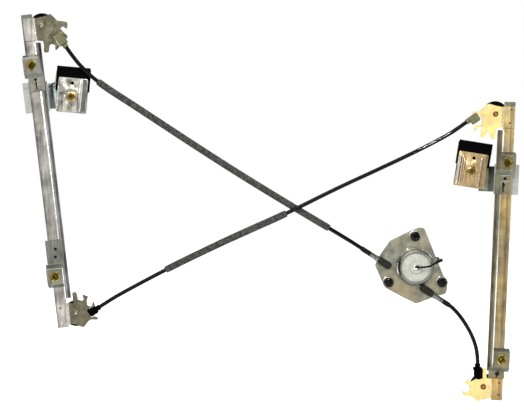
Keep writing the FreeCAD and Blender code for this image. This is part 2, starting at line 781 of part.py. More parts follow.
SCREW_ANGLES = (90, 210, 330)


def screw_places():
    radius = size("bolt_circle_radius")
    return [(radius * math.cos(math.radians(angle)), radius * math.sin(math.radians(angle)))
            for angle in SCREW_ANGLES]


def make_drum_plate():
    """Flat plate with a raised boss round each screw and a bore that carries the drum."""
    body = new_body("drum_plate")
    plate_pad(body, "plate", PLATE_OUTLINE, "plate_front", "plate_wall")
    plate_pad(body, "bosses", [], "plate_front - boss_height", "boss_height",
              circles=[(x, z, "boss_radius") for x, z in screw_places()])
    plate_cut(body, "drum_bore", "plate_front", "plate_wall",
              circles=[(0, 0, "drum_journal_radius + running_gap")])
    plate_cut(body, "screw_holes", "plate_front - boss_height", "boss_height + plate_wall",
              circles=[(x, z, "screw_radius + hole_gap / 2") for x, z in screw_places()])
    return body


def make_motor_screw(index, x, z):
    """Low round head on the boss, a thinner neck in the plate, and the thread standing out behind."""
    seat = size("plate_front") - size("boss_height")
    head = size("screw_head_radius")
    front = seat - size("screw_head_height")
    neck = size("screw_neck_radius")
    shank = size("screw_radius")
    back = size("plate_front") + size("plate_wall") + size("hole_gap")
    tip = back + size("screw_stand_out")
    body = turned("motor_screw_%d" % index, [
        (0, front), (head - 1.5, front), (head, front + 1.5), (head, seat), (neck, seat),
        (neck, back), (shank, back), (shank, tip - 1), (shank - 1, tip), (0, tip)])
    body.Placement = Placement(Vector(x, 0, z), Rotation())
    return body


def make_housing():
    """Pressed dome round the drum: flared foot on the plate, lip over the drum, cable and side slots."""
    inner = size("housing_inner_radius")
    wall = size("housing_wall")
    front = size("housing_front")
    base = size("plate_front")
    outer = inner + wall
    skirt = outer + size("housing_flare")
    foot = skirt + size("housing_flange")
    lip = size("drum_radius") - wall
    body = turned("drum_housing", [
        (lip, front), (outer - wall / 2, front, 2 * wall), (skirt, base - wall, wall),
        (foot, base - wall), (foot, base), (skirt - wall, base), (inner, front + 2 * wall),
        (lip, front + wall)])
    half = size("wire_radius") + 3 * size("moving_gap")
    slope = size("cable_slope")
    middle = drum_line(0)
    slot = turn_points(box(-skirt, skirt, -half, half), slope, middle.x, middle.z)
    plate_cut(body, "cable_slot", "wire_plane - %.3f" % half, "%.3f" % (2 * half), outline=slot)
    side_slot = turn_points(box(-skirt - 1, -inner - 0.3, -6, 6, 1), 15)
    plate_cut(body, "side_slot", "housing_front + 2 * housing_wall",
              "plate_front - housing_front - 3 * housing_wall", outline=side_slot)
    return body


def make_drum():
    """Nylon cable drum: grooved rim, journal in the plate, raised nose and a square drive bore."""
    outer = size("drum_radius")
    groove = size("drum_wire_radius") - size("wire_radius") - size("moving_gap")
    half = size("wire_radius") + 3 * size("moving_gap")
    centre = size("wire_plane")
    front = size("drum_front")
    back = size("plate_front") - size("hole_gap")
    nose = size("drum_nose_radius")
    journal = size("drum_journal_radius")
    tip = size("plate_front") + size("plate_wall")
    body = turned("cable_drum", [
        (0, front - size("drum_nose_height")), (nose, front - size("drum_nose_height"), 0.8),
        (nose, front), (outer, front, 0.5), (outer, centre - half), (groove, centre - half / 2),
        (groove, centre + half / 2), (outer, centre + half), (outer, back), (journal, back),
        (journal, tip), (0, tip)])
    half_square = size("drum_square") / 2
    plate_cut(body, "drive_bore", "drum_front - drum_nose_height",
              "plate_front + plate_wall - drum_front + drum_nose_height",
              outline=box(-half_square, half_square, -half_square, half_square, 0.5))
    return body


# The transit tie goes through the drive bore and round the right edge of the drum plate

TIE_ROUTE = [(0.5, 9, 0), (0.5, -4, 0.3), (15, -6.5, 6), (29.4, 4.5, 12.4), (29.4, 21, 12.4),
             (15, 20.5, 6), (0.5, 18.5, 0), (0.5, 9.3, 0)]


def make_tie():
    """Thin strap of the transit tie, as one closed run with a thicker cut tail."""
    strap = tube(route_edges(vectors(TIE_ROUTE)), 1.1)
    tail = Part.makeCone(1.3, 2.4, 11, Vector(23.5, -2.5, 9.5), Vector(0.85, -0.3, 0.2))
    return add_shape("transit_tie", strap.fuse(tail))


# Carriages: slider behind the rail, carrier with the rear jaw, front jaw, rubber, screw and nut

def carriage_height(rail):
    return size(rail.name + "_carriage_height")


def clamp_turn(rail):
    return size(rail.name + "_clamp_tilt") - rail.turn


def clamp_rise(rail):
    """Height of the clamp screw above the middle of the slider."""
    return size(rail.name + "_clamp_rise")


def clamp_placement(rail):
    return rail.place(size("clamp_reach"), carriage_height(rail) + clamp_rise(rail), clamp_turn(rail))


def carrier_knee():
    """Where the carrier starts to bend away from the viewer, across from the rail's middle."""
    return size("clamp_reach") - size("joggle_reach")


def wire_offset():
    """How far inward of the rail's middle the wire runs."""
    return size("pulley_offset") - size("wire_turn_radius")


def make_slider(rail):
    """Plastic slider: shoe inside the channel, outer guide, back web and a slot for the wire."""
    half = size("rail_face_width") / 2
    wall = size("rail_wall")
    gap = size("slide_gap")
    back = size("slider_back")
    web = size("rail_depth") + gap
    outer = size("slider_outer")
    inner = size("slider_inner")
    slot = size("wire_radius") + 1.5 * size("moving_gap")
    wire = wire_offset()
    shoe_front = wall + gap
    slot_front = size("wire_plane") - slot
    body = new_body(rail.name + "_slider")
    section = new_sketch(body, "slider_section", "XY_Plane")
    draw_outline(section, mirrored([
        (-outer, web / 2, 1), (-half - gap, web / 2), (-half - gap, web), (-half + wall + gap, web),
        (-half + wall + gap, shoe_front, 0.5), (half - wall, shoe_front, 0.5), (half - wall, web),
        (inner, web), (inner, back), (wire + slot, back), (wire + slot, slot_front),
        (wire - slot, slot_front), (wire - slot, back), (-outer, back, 1)], rail.side))
    pad(body, "slider", section, "slider_length", midplane=True)
    depth = size("nipple_length") + 1
    for end in (1, -1):
        level = "%.3f" % (end * size("slider_length") / 2)
        pit = new_sketch(body, "nipple_pit_%s" % END_NAMES[end], "XY_Plane", level)
        draw_circle(pit, wire * rail.side, size("wire_plane"), "nipple_radius + hole_gap / 3")
        pocket(body, "nipple_seat_%s" % END_NAMES[end], pit, "%.3f" % depth, reverse=end < 0)
    body.Placement = rail.place(0, carriage_height(rail))
    return body


def make_nipple(rail, end):
    """Cable nipple in its seat at one end of the slider."""
    body = new_body("nipple_%s_%s" % (END_NAMES[end], rail.name))
    sketch = new_sketch(body, "nipple_section", "XY_Plane")
    draw_circle(sketch, 0, 0, "nipple_radius")
    draw_circle(sketch, 0, 0, "wire_radius + moving_gap")
    pad(body, "nipple", sketch, "nipple_length", midplane=True)
    along = end * (size("slider_length") / 2 - size("nipple_length") / 2 - 0.5)
    body.Placement = rail.place(wire_offset(), carriage_height(rail) + along).multiply(
        Placement(Vector(0, size("wire_plane"), 0), Rotation()))
    return body


def make_carrier(rail):
    """Steel carrier: base behind the slider, joggle away from the viewer, rear jaw."""
    wall = size("carrier_wall")
    front = size("slider_back")
    jaw = jaw_back_level()
    half = size("slider_length") / 2
    knee = carrier_knee()
    flat = knee + wall
    bend = flat + jaw - front - wall
    end = size("clamp_reach") - 2 * size("nut_corner_radius")
    reach = size("clamp_reach") * rail.side
    body = new_body(rail.name + "_carrier")
    plate_pad(body, "base", mirrored(box(-size("slider_outer"), flat, -half, half, 2), rail.side),
              "slider_back", "carrier_wall")
    section = new_sketch(body, "joggle_section", "XY_Plane")
    draw_outline(section, mirrored([
        (knee - wall, front), (flat, front), (bend, jaw), (end, jaw), (end, jaw + wall),
        (bend - wall, jaw + wall), (knee, front + wall), (knee - wall, front + wall)], rail.side))
    pad(body, "joggle", section, "arm_length", midplane=True)
    outline = box(-size("jaw_inner") - 1, size("jaw_width") - size("jaw_inner"), -size("jaw_below"),
                  size("rubber_top") - 4, 2)
    sketch = new_sketch(body, "rear_jaw_sketch", "XZ_Plane", "%.3f" % jaw)
    draw_outline(sketch, turn_points(
        mirrored(outline, rail.side), clamp_turn(rail), reach, clamp_rise(rail)))
    pad(body, "rear_jaw", sketch, "carrier_wall", reverse=True)
    plate_cut(body, "screw_hole", "%.3f" % jaw, "carrier_wall",
              circles=[(reach, clamp_rise(rail), "clamp_screw_radius + hole_gap")])
    body.Placement = rail.place(0, carriage_height(rail))
    return body


def jaw_back_level():
    """Front of the rear jaw: behind the front jaw, two rubber walls and the glass slot."""
    return size("jaw_front") + size("jaw_wall") + 2 * size("rubber_wall") + size("glass_slot")


def make_front_jaw(rail):
    """Front jaw plate with an arch shaped rib round the screw and a small hole above it."""
    inner = size("jaw_inner")
    body = new_body(rail.name + "_front_jaw")
    plate_pad(body, "plate", mirrored(
        box(-inner, size("jaw_width") - inner, -size("jaw_below"), size("jaw_above"), 2.5), rail.side),
        "jaw_front", "jaw_wall")
    below = -size("jaw_below") + 0.5
    plate_pad(body, "arch_rib", [
        (-10.5, below), (-8.3, below), (-8.3, 8.3, 6), (8.3, 8.3, 6), (8.3, below), (10.5, below),
        (10.5, 10.5, 8), (-10.5, 10.5, 8)], "jaw_front - jaw_ridge", "jaw_ridge")
    plate_cut(body, "holes", "jaw_front", "jaw_wall",
              circles=[(0, 0, "clamp_screw_radius + hole_gap"), (0, 18, "2.3")])
    body.Placement = clamp_placement(rail)
    return body


def make_rubber(rail):
    """Rubber channel between the jaws, open at the top for the glass."""
    front = size("jaw_front") + size("jaw_wall")
    wall = size("rubber_wall")
    back = jaw_back_level()
    top = size("rubber_top")
    seat = size("rubber_seat")
    over = size("jaw_above") + 0.3
    body = new_body(rail.name + "_glass_rubber")
    section = new_sketch(body, "channel_section", "YZ_Plane", "0 - rubber_width / 2")
    draw_outline(section, [
        (front, seat - 2), (back, seat - 2), (back, top - 2, 0.7), (back - wall, top - 2, 0.7),
        (back - wall, seat), (front + wall, seat), (front + wall, top, 0.7), (front - 1, top, 1),
        (front - 1, over), (front, over)])
    pad(body, "channel", section, "rubber_width")
    body.Placement = clamp_placement(rail)
    return body


def make_clamp_screw(rail):
    seat = size("jaw_front")
    head = size("clamp_head_radius")
    front = seat - size("clamp_head_height")
    shank = size("clamp_screw_radius")
    tip = jaw_back_level() + size("carrier_wall") + size("nut_height") + 1
    body = turned(rail.name + "_clamp_screw", [
        (0, front), (head - 1, front), (head, front + 1), (head, seat), (shank, seat), (shank, tip),
        (0, tip)])
    body.Placement = clamp_placement(rail)
    return body


def make_spacer(rail):
    """Tube round the screw that keeps the jaws apart below the glass."""
    front = size("jaw_front") + size("jaw_wall")
    inner = size("clamp_screw_radius") + size("hole_gap")
    outer = inner + 2.2
    body = turned(rail.name + "_jaw_spacer", [
        (inner, front), (outer, front), (outer, jaw_back_level()), (inner, jaw_back_level())])
    body.Placement = clamp_placement(rail)
    return body


def make_clamp_nut(rail):
    """Hexagon nut behind the rear jaw."""
    body = new_body(rail.name + "_clamp_nut")
    corner = size("nut_corner_radius")
    points = [(corner * math.cos(math.radians(60 * k)), corner * math.sin(math.radians(60 * k)))
              for k in range(6)]
    plate_pad(body, "hexagon", points, "%.3f" % (jaw_back_level() + size("carrier_wall")), "nut_height",
              circles=[(0, 0, "clamp_screw_radius + running_gap")])
    body.Placement = clamp_placement(rail)
    return body


def make_carrier_rivet(rail, index, across, along):
    """Rivet head on the back of the carrier base, over the slider."""
    head = size("rivet_head_radius")
    seat = size("slider_back") + size("carrier_wall")
    back = seat + size("rivet_head_height")
    body = turned("rivet_%s_%d" % (rail.name, index), [
        (0, seat), (head, seat), (0.75 * head, back), (0, back)])
    body.Placement = rail.place(across, carriage_height(rail) + along)
    return body


def make_carriage(rail):
    outer = size("rivet_margin") - size("slider_outer")
    inner = carrier_knee() - size("rivet_margin")
    along = size("rivet_spacing") / 2
    places = [(outer, along), (outer, -along), (inner, along), (inner, -along)]
    rivets = [make_carrier_rivet(rail, index, *place) for index, place in enumerate(places)]
    nipples = [make_nipple(rail, end) for end in (1, -1)]
    return [
        make_slider(rail), make_carrier(rail), make_front_jaw(rail), make_rubber(rail),
        make_clamp_screw(rail), make_spacer(rail), make_clamp_nut(rail),
        group(rail.name + "_carrier_rivets", rivets), group(rail.name + "_cable_nipples", nipples)]


def make_rail_unit(rail):
    made = []
    rail_body = make_rail(rail)
    made.append(rail_body)
    for end in (1, -1):
        made.append(make_bracket(rail, end))
        made.append(make_pulley(rail, end))
        made.append(make_end_fitting(rail, end))
    for name in ("upper", "lower"):
        made.append(make_mount_bracket(rail, name))
    made.append(make_rail_cable(rail))
    return made


def make_axles():
    axles = []
    for rail in RAILS.values():
        for end in (1, -1):
            axle = turned("axle_" + end_name(rail, end), make_axle_profile())
            axle.Placement = rail.place(size("pulley_offset"), rail.pulley_height(end))
            axles.append(axle)
    return group("pulley_axles", axles)


def build():
    nodes = []
    for rail in RAILS.values():
        nodes += make_rail_unit(rail)
        nodes += make_carriage(rail)
    nodes.append(make_axles())
    nodes.append(group("mount_bushes", [
        make_bush(rail, name) for rail in RAILS.values() for name in ("upper", "lower")]))
    nodes += make_conduits()
    nodes += make_drum_fittings("upper")
    nodes += make_drum_fittings("lower")
    nodes.append(make_drum_plate())
    nodes.append(group("motor_screws", [
        make_motor_screw(index, x, z) for index, (x, z) in enumerate(screw_places())]))
    nodes.append(make_housing())
    nodes.append(make_drum())
    nodes.append(make_tie())
    doc.recompute()
    to_frame = Placement(Vector(0, -size("plate_front") - size("plate_wall"), 0), Rotation())
    for node in nodes:
        node.Placement = to_frame.multiply(node.Placement)
    doc.recompute()
    return nodes


def check_and_export(nodes):
    """Stop on any failed object or bad shape, then write one STEP file for each node."""
    for item in doc.Objects:
        if "Invalid" in item.State or "Error" in item.State:
            raise RuntimeError("%s failed: %s" % (item.Label, item.State))
    for node in nodes:
        if node.Shape.isNull() or not node.Shape.isValid():
            raise RuntimeError(node.Label + " has no valid shape")
    os.makedirs("parts", exist_ok=True)
    for node in nodes:
        node.Shape.exportStep("parts/%s.step" % node.Label)
    print(len(nodes), "nodes written")


check_and_export(build())
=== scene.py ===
import json
import math

import bmesh
import bpy
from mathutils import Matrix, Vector


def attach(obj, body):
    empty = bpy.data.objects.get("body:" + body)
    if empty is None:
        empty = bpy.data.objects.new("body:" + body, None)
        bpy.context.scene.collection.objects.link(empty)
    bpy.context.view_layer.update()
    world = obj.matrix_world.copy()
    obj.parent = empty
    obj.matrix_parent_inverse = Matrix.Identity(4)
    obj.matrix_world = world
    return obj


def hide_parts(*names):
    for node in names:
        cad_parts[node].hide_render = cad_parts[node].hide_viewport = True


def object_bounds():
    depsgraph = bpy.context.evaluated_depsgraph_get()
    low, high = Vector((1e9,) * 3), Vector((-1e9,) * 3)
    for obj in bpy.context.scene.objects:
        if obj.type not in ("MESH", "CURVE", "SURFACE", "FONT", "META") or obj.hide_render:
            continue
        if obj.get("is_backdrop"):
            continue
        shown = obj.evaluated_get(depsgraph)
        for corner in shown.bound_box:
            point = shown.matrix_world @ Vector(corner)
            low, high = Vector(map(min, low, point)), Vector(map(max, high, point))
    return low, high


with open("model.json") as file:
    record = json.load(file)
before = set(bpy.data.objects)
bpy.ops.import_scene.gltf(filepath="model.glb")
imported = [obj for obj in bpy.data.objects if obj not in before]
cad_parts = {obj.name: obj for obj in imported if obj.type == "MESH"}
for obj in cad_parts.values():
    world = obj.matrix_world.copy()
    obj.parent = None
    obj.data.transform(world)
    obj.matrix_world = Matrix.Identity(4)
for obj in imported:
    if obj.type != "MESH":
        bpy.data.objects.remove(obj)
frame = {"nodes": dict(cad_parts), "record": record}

bl_info = {
    "name": "Window regulator dressing",
    "version": (1, 0, 0),
    "blender": (4, 5, 0),
    "location": "View3D > Sidebar > Regulator",
    "description": "Gives the dual rail window regulator its finishes, cables, boots and stage",
    "category": "Object",
}

# Everything lies in the frame of the CAD model: +X right, +Y away, +Z up. The conduits are in
# metres, and the tables after them are in millimetres and degrees.

MM = 0.001
CARRIAGES = {"left": "left_carriage", "right": "right_carriage"}
PULLEYS = ("upper_left", "lower_left", "upper_right", "lower_right")

# The conduits repeat the points of the CAD model, as control points of smooth curves. A sleeve
# covers its conduit from one of these points to another.

CONDUITS = {
    "upper_conduit": (
        (-0.4655, -0.0065, 0.2933), (-0.4604, -0.0065, 0.2858), (-0.4470, -0.0065, 0.2685),
        (-0.4235, -0.0063, 0.2465), (-0.3720, -0.0050, 0.2135), (-0.3000, -0.0035, 0.1660),
        (-0.2290, -0.0025, 0.1205), (-0.1600, -0.0025, 0.0786), (-0.1160, -0.0045, 0.0525),
        (-0.0874, -0.0065, 0.0353), (-0.0723, -0.0065, 0.0255)),
    "cross_conduit": (
        (-0.4211, -0.0065, -0.0526), (-0.4060, -0.0065, -0.0428), (-0.3910, -0.0070, -0.0340),
        (-0.3340, -0.0085, -0.0035), (-0.2810, -0.0095, 0.0225), (-0.2270, -0.0105, 0.0475),
        (-0.1730, -0.0110, 0.0713), (-0.1060, -0.0110, 0.1050), (-0.0500, -0.0095, 0.1305),
        (0.0050, -0.0080, 0.1565), (0.0440, -0.0068, 0.1770), (0.0604, -0.0065, 0.1883),
        (0.0677, -0.0065, 0.1935)),
    "lower_conduit": (
        (0.0447, -0.0065, -0.0505), (0.0485, -0.0065, -0.0529), (0.0605, -0.0089, -0.0665),
        (0.0720, -0.0097, -0.0850), (0.0795, -0.0087, -0.1030), (0.0825, -0.0065, -0.1192),
        (0.0825, -0.0065, -0.1282)),
}
SLEEVES = {"upper_sleeve": ("upper_conduit", 3, 8), "cross_sleeve": ("cross_conduit", 3, 6)}

# The drum cables lie on one line; stations along it are counted from the drum's tangent point,
# negative towards the upper rail.

DRUM_TOUCH = Vector((-9.8035, -6.5, -15.0961)) * MM
DRUM_HEADING = Vector((0.83867, 0, -0.54464))
DRUM_STATIONS = {
    "upper": {"boot": (-28.0, -47.5), "collar": (-60.5, -74.5)},
    "lower": {"boot": (20.0, 39.0), "collar": (54.5, 65.0)},
}

# Rails: x and z of the middle, turn, and which way is inward.

RAILS = {"left": (-493.0, 128.0, -6.8, 1), "right": (115.7, 22.0, 2.6, -1)}
# Each rail's second finish is a darker painted shade for its flanges, which sit deeper than the face.
RAIL_FINISHES = {"left": ("grey_zinc", "flange_zinc"), "right": ("yellow_zinc", "amber_zinc")}
# Patches of painted shade at the top ends of the rails: a level, then corners across and along each
# rail.
TOP_SHADE_LEVEL = -15.6
RAIL_TOP_SHADES = {
    "left": ((-7.0, 203.6), (-7.0, 208.8), (7.0, 208.8), (7.0, 203.6)),
    "right": ((7.0, 193.2), (7.0, 197.9), (-7.0, 197.9), (-7.0, 193.2))}
BRACKET_FINISHES = {"left": ("olive_zinc", "grey_zinc"), "right": ("gold_zinc", "yellow_zinc")}

# Which faces of folded sheet are bends, joggles or flanges: millimetres across the rail, the Y part of
# the face's normal, and square metres. Bends take a near-white painted highlight, and the mounts'
# joggles and the rails' flanges a darker painted shade.

RAIL_BEND, RAIL_BEND_SLOPE, RAIL_FLANGE = (5.8, 8.6), (-0.985, -0.2), 7.6
BRACKET_BEND, BRACKET_BEND_SLOPE, BRACKET_FLANGE = (8.0, 11.4), (-0.975, -0.1), 8.6
JOGGLE_AREA, JOGGLE_SLOPE = 8e-6, (-0.96, -0.1)

# Places as x and z, of lines along Y.

AXLES = {
    "upper_left": (-497.49, 321.08), "lower_left": (-451.97, -60.72),
    "upper_right": (105.55, 204.00), "lower_right": (89.09, -158.33)}
BUSHES = ((-510.19, 267.95), (-478.86, -11.71), (120.51, 138.90), (112.19, -121.39))
CLAMP_SCREWS = {"left": (-459.59, 227.86), "right": (75.46, 127.93)}
MOTOR_SCREWS = ((0.0, 41.0), (-35.507, -20.5), (35.507, -20.5))

# Small round spots on the rails and mounts: level, radius, height, finish and places. The spots behind
# the bushes and those in place of keyholes are painted shade; the welds keep their own colour.

SPOTS = {
    "left_bush_backs": (-13.5, 4.0, 0.2, "brass_dark", BUSHES[:2]),
    "right_bush_backs": (-13.5, 4.0, 0.2, "brass_dark", BUSHES[2:]),
    "left_marks": (-15.0, 2.0, 0.15, "black_steel", ((-505.2, 249.6), (-478.8, 24.6), (-478.8, 14.0))),
    "right_marks": (-15.0, 2.0, 0.15, "black_steel", ((117.6, 118.0), (115.7, 109.3))),
    "lower_right_mark": (-15.0, 3.0, 0.15, "black_steel", ((107.0, -140.6),)),
    "left_welds": (-15.5, 1.7, 0.12, "weld_steel", ((-472.2, -53.9),)),
    "right_welds": (-15.5, 1.7, 0.12, "weld_steel", (
        (125.9, 209.5), (124.1, 191.7), (109.6, -152.7), (108.7, -168.6)))}

# Short straight beads on the mounts: level, radius, finish, steps, and both ends. The black beads in
# place of slots are painted shade, and the ridges' brighter finish is a painted highlight.

MOUNT_BEADS = {
    "upper_right_mount_ridge_0": (-14.8, 0.55, "bright_zinc", 4, ((112.6, 121.6), (124.4, 122.4))),
    "upper_right_mount_ridge_1": (-14.8, 0.55, "bright_zinc", 4, ((111.8, 113.6), (123.4, 114.4))),
    "left_slots_0": (-14.0, 1.15, "black_steel", 2, ((-505.2, 250.0), (-503.4, 236.0))),
    "right_slots_0": (-14.0, 1.15, "black_steel", 2, ((115.4, 113.7), (115.1, 99.6))),
    "right_slots_1": (-14.0, 1.15, "black_steel", 2, ((106.5, -140.4), (106.3, -146.2)))}

# Pressed beads of the clamp plates: points along the plate and up it from the screw, then the bead's
# radius, its level and its finish. The near-white beads are painted highlights, the dark ones painted
# shade beside the bends.

CLAMP_TILT = {"left": 5.0, "right": 9.0}
JAW_BEADS = {
    "left": (
        (((-9.4, -20), (-9.4, -10), (-9.4, 2)), 1.0, -3.2, "bend_zinc"),
        (((-9.2, 3), (-7.6, 7), (-4.6, 9.3), (0, 9.9), (4.6, 9.3), (7.6, 7), (9.2, 3), (9.4, -20)),
         0.9, -3.1, "arm_zinc"),
        (((9.0, -19), (9.0, 0), (9.0, 23)), 0.5, -2.7, "arm_zinc"),
        (((12.6, -19), (12.6, 0), (12.6, 23)), 1.1, -2.6, "bend_zinc"),
        (((-18.2, -19), (-18.2, 0), (-18.2, 13)), 0.8, -2.6, "bend_zinc")),
    "right": (
        (((-18.3, -19), (-18.3, 0), (-18.3, 22.5)), 1.2, -2.7, "bend_zinc"),
        (((-16.2, -19), (-16.2, 0), (-16.2, 21)), 0.6, -2.7, "brown_steel"),
        (((-14.8, -19), (-14.8, 0), (-14.8, 20)), 0.8, -2.6, "bend_zinc"),
        (((-13.2, -19), (-13.2, 0), (-13.2, 19)), 0.5, -2.7, "brown_steel"),
        (((-10.4, -19), (-10.4, 0), (-10.4, 18)), 0.6, -2.7, "weld_steel"),
        (((10.6, -19), (10.6, 0), (10.6, 20)), 1.0, -2.6, "bend_zinc"),
        (((13.0, -19), (13.0, 0), (13.0, 20)), 0.5, -2.7, "weld_steel")),
}
JAW_SHADE = ((13.9, -18.6), (13.9, 24.0), (19.6, 24.0), (19.6, -18.6))

# The top edge of the left clamp's arm, and the two beads on it: first point, drop, radius, finish.

ARM_EDGE = ((-479.0, 1.0, 264.0), (-480.2, 1.0, 254.0), (-481.0, 1.0, 248.0),
            (-485.6, 1.0, 246.2), (-490.6, 1.0, 241.8), (-494.0, 3.0, 240.5))
ARM_BEADS = {"left_arm_edge": (0, 0.0, 0.8, "clamp_zinc"),
             "left_arm_shade": (2, 1.5, 0.9, "black_steel")}

# Painted shade and painted highlights round the drum housing, as beads: radius, first and last angle,
# level, the bead's radius and its finish. The tie runs through the drive bore, round the plate's edge
# and back.

HOUSING_BEADS = {
    "housing_slot_shade": (22.5, 160, 206, -12.1, 1.3, "black_steel"),
    "housing_slot_lip": (24.4, 166, 202, -8.5, 0.9, "bend_zinc"),
    "housing_hook_shade": (24.0, 26, 66, -10.2, 0.7, "arm_zinc"),
    "housing_hook_lip": (25.0, 30, 70, -5.2, 0.8, "bend_zinc")}
TIE_ROUTE = (
    (0.5, 1.0, 0), (0.5, -14.0, 0), (3.0, -18.0, 0.8), (10, -19.6, 0.6), (19, -19.2, 2.2),
    (27, -16.0, 7.5), (31.0, -9.0, 12.4), (29.8, 7.5, 12.4), (15, 7.2, 6), (0.5, 6.0, 0),
    (0.5, 0.0, 0))

# Plated finishes: base colour or the name of a colour that a user can change, second tint, and
# what differs from the usual plating.

PLATED = {
    "grey_zinc": ("grey_zinc", (0.42, 0.42, 0.38), dict(dark=0.5, light=1.5)),
    # The rails' flange finishes are darker than the faces as painted shade.
    "flange_zinc": ((0.34, 0.345, 0.33), (0.36, 0.36, 0.32), dict(light=1.5)),
    "yellow_zinc": ("yellow_zinc", (0.42, 0.37, 0.24), dict(streaks=0.2)),
    "amber_zinc": ((0.33, 0.28, 0.17), (0.28, 0.26, 0.18), dict(light=1.5)),
    # A near-white finish: painted highlight on bends, bead edges, the housing lips, boss rims and left
    # rivet centres.
    "bend_zinc": ((0.97, 0.97, 0.95), (0.90, 0.92, 0.93), dict(
        dark=0.85, light=1.0, shift=-0.12, bump=0.1, streaks=0.0)),
    "mount_zinc": ((0.25, 0.24, 0.195), (0.25, 0.27, 0.24), dict(light=1.6, streaks=0.15)),
    "green_zinc": ((0.26, 0.235, 0.145), (0.20, 0.20, 0.15), dict(light=1.5, streaks=0.15)),
    "clamp_zinc": ((0.50, 0.48, 0.43), (0.34, 0.29, 0.17), dict(dark=0.45, light=1.6, clouds=110.0)),
    "copper_zinc": ((0.55, 0.40, 0.195), (0.72, 0.52, 0.27), dict(dark=0.45, light=1.4)),
    # Dark olive grey: the right carrier's own finish, and painted shade on rail tips, mount joggles,
    # jaw beads and the drum housing.
    "arm_zinc": ((0.20, 0.21, 0.17), (0.15, 0.16, 0.14), dict(light=1.6, streaks=0.15)),
    "blue_zinc": ((0.42, 0.47, 0.46), (0.36, 0.33, 0.32), dict(light=1.5)),
    "bright_zinc": ((0.53, 0.515, 0.475), (0.36, 0.36, 0.30), {}),
    "gold_zinc": ("gold_zinc", (1.0, 0.72, 0.32), dict(
        dark=0.9, light=1.1, shift=0.06, clouds=120.0, streaks=0.05)),
    "olive_zinc": ("olive_zinc", (0.21, 0.165, 0.13), dict(
        dark=0.6, light=1.5, clouds=130.0, streaks=0.1)),
    "plate_zinc": ("plate_zinc", (0.44, 0.36, 0.21), dict(light=1.6, clouds=70.0, streaks=0.06)),
    # Brown and weld steel: the rivet rings, axles and spot welds, and painted shade lines on the right
    # clamp plate.
    "brown_steel": ((0.25, 0.10, 0.03), (0.12, 0.05, 0.02), {}),
    "weld_steel": ((0.24, 0.15, 0.08), (0.13, 0.10, 0.07), {}),
    "bright_steel": ((0.50, 0.50, 0.48), (0.38, 0.38, 0.37), dict(shift=-0.1)),
    "ferrule_steel": ((0.20, 0.20, 0.19), (0.12, 0.12, 0.12), dict(shift=-0.15)),
    "wire_rope": ((0.25, 0.24, 0.22), (0.16, 0.15, 0.13), {}),
    "bush_brass": ("brass", (0.16, 0.12, 0.03), dict(dark=0.35, light=2.2, shift=-0.15, clouds=260.0)),
    # Darker brass: painted shade in the bush bores, on their threads and in the clamp screws' driver
    # recesses.
    "brass_dark": ((0.20, 0.15, 0.03), (0.34, 0.26, 0.06), dict(
        dark=0.35, light=1.9, shift=-0.2, clouds=400.0)),
    "screw_brass": ((0.44, 0.32, 0.13), (0.22, 0.11, 0.05), dict(
        dark=0.4, light=2.0, shift=-0.15, clouds=380.0)),
}

# Bands of painted light and shade across the rails at millimetres from their middle, and shades along
# them, as one factor or as three for red, green and blue.

BANDS = {
    "grey_zinc": ("left", (
        (-7.3, 0.55), (-5.0, 0.72), (-3.4, 1.05), (0.4, 0.95), (3.0, 1.08), (5.0, 0.9), (7.4, 1.1))),
    "flange_zinc": ("left", (
        (7.8, 0.7), (8.6, 0.85), (9.4, 1.75), (10.2, 1.0), (11.4, 0.42), (12.6, 0.5), (13.4, 1.1))),
    "yellow_zinc": ("right", (
        (-7.3, 0.9), (-5.0, 1.0), (-3.6, 0.66), (-1.6, 0.75), (0.0, 1.05), (4.2, 1.0), (6.0, 0.8),
        (7.4, 1.1))),
    "amber_zinc": ("right", (
        (7.8, 0.8), (9.0, 1.25), (10.2, 1.05), (11.6, 0.7), (12.8, 0.75), (13.4, 1.1))),
}
BANDS_START, BANDS_SPAN = -8, 22
SHADES = {
    "yellow_zinc": (
        (-200, (1.15, 0.98, 0.72)), (-165, (1.15, 0.98, 0.72)), (-150, (0.8, 0.8, 0.92)),
        (-30, (0.77, 0.76, 0.8)), (60, (0.95, 0.94, 0.93)), (200, (1.2, 1.2, 1.15))),
    "amber_zinc": ((-200, 0.85), (200, 1.15)),
}
SHADES_START, SHADES_SPAN = -200, 400
NO_SHADES = ((-200, 1.0), (200, 1.0))

# Moulded finishes: base colour or its name, and what differs from the usual moulding.

MOULDED = {
    "black_gloss": ("black", dict(roughness=0.2, coat=0.3, shine=0.02)),
    "black_rubber": ("black", dict(roughness=0.6, bump=0.3, shine=0.02)),
    # Black steel: the motor screws and spring cores, and painted shade in keyholes, slots, the housing
    # slot and under the clamp arm's edge.
    "black_steel": ("black", dict(roughness=0.25, coat=0.4, shine=0.06)),
    "boot_rubber": ((0.013, 0.013, 0.009), dict(roughness=0.5, bump=0.4, shine=0.2)),
    "white_nylon": ("nylon", dict(roughness=0.35, lighter=1.3)),
    "grey_plastic": ((0.42, 0.42, 0.39), dict(lighter=1.3)),
    "olive_plastic": ((0.15, 0.145, 0.065), {}),
}

# The studio, in metres and watts: lamps as place, size and power, aimed at one point.

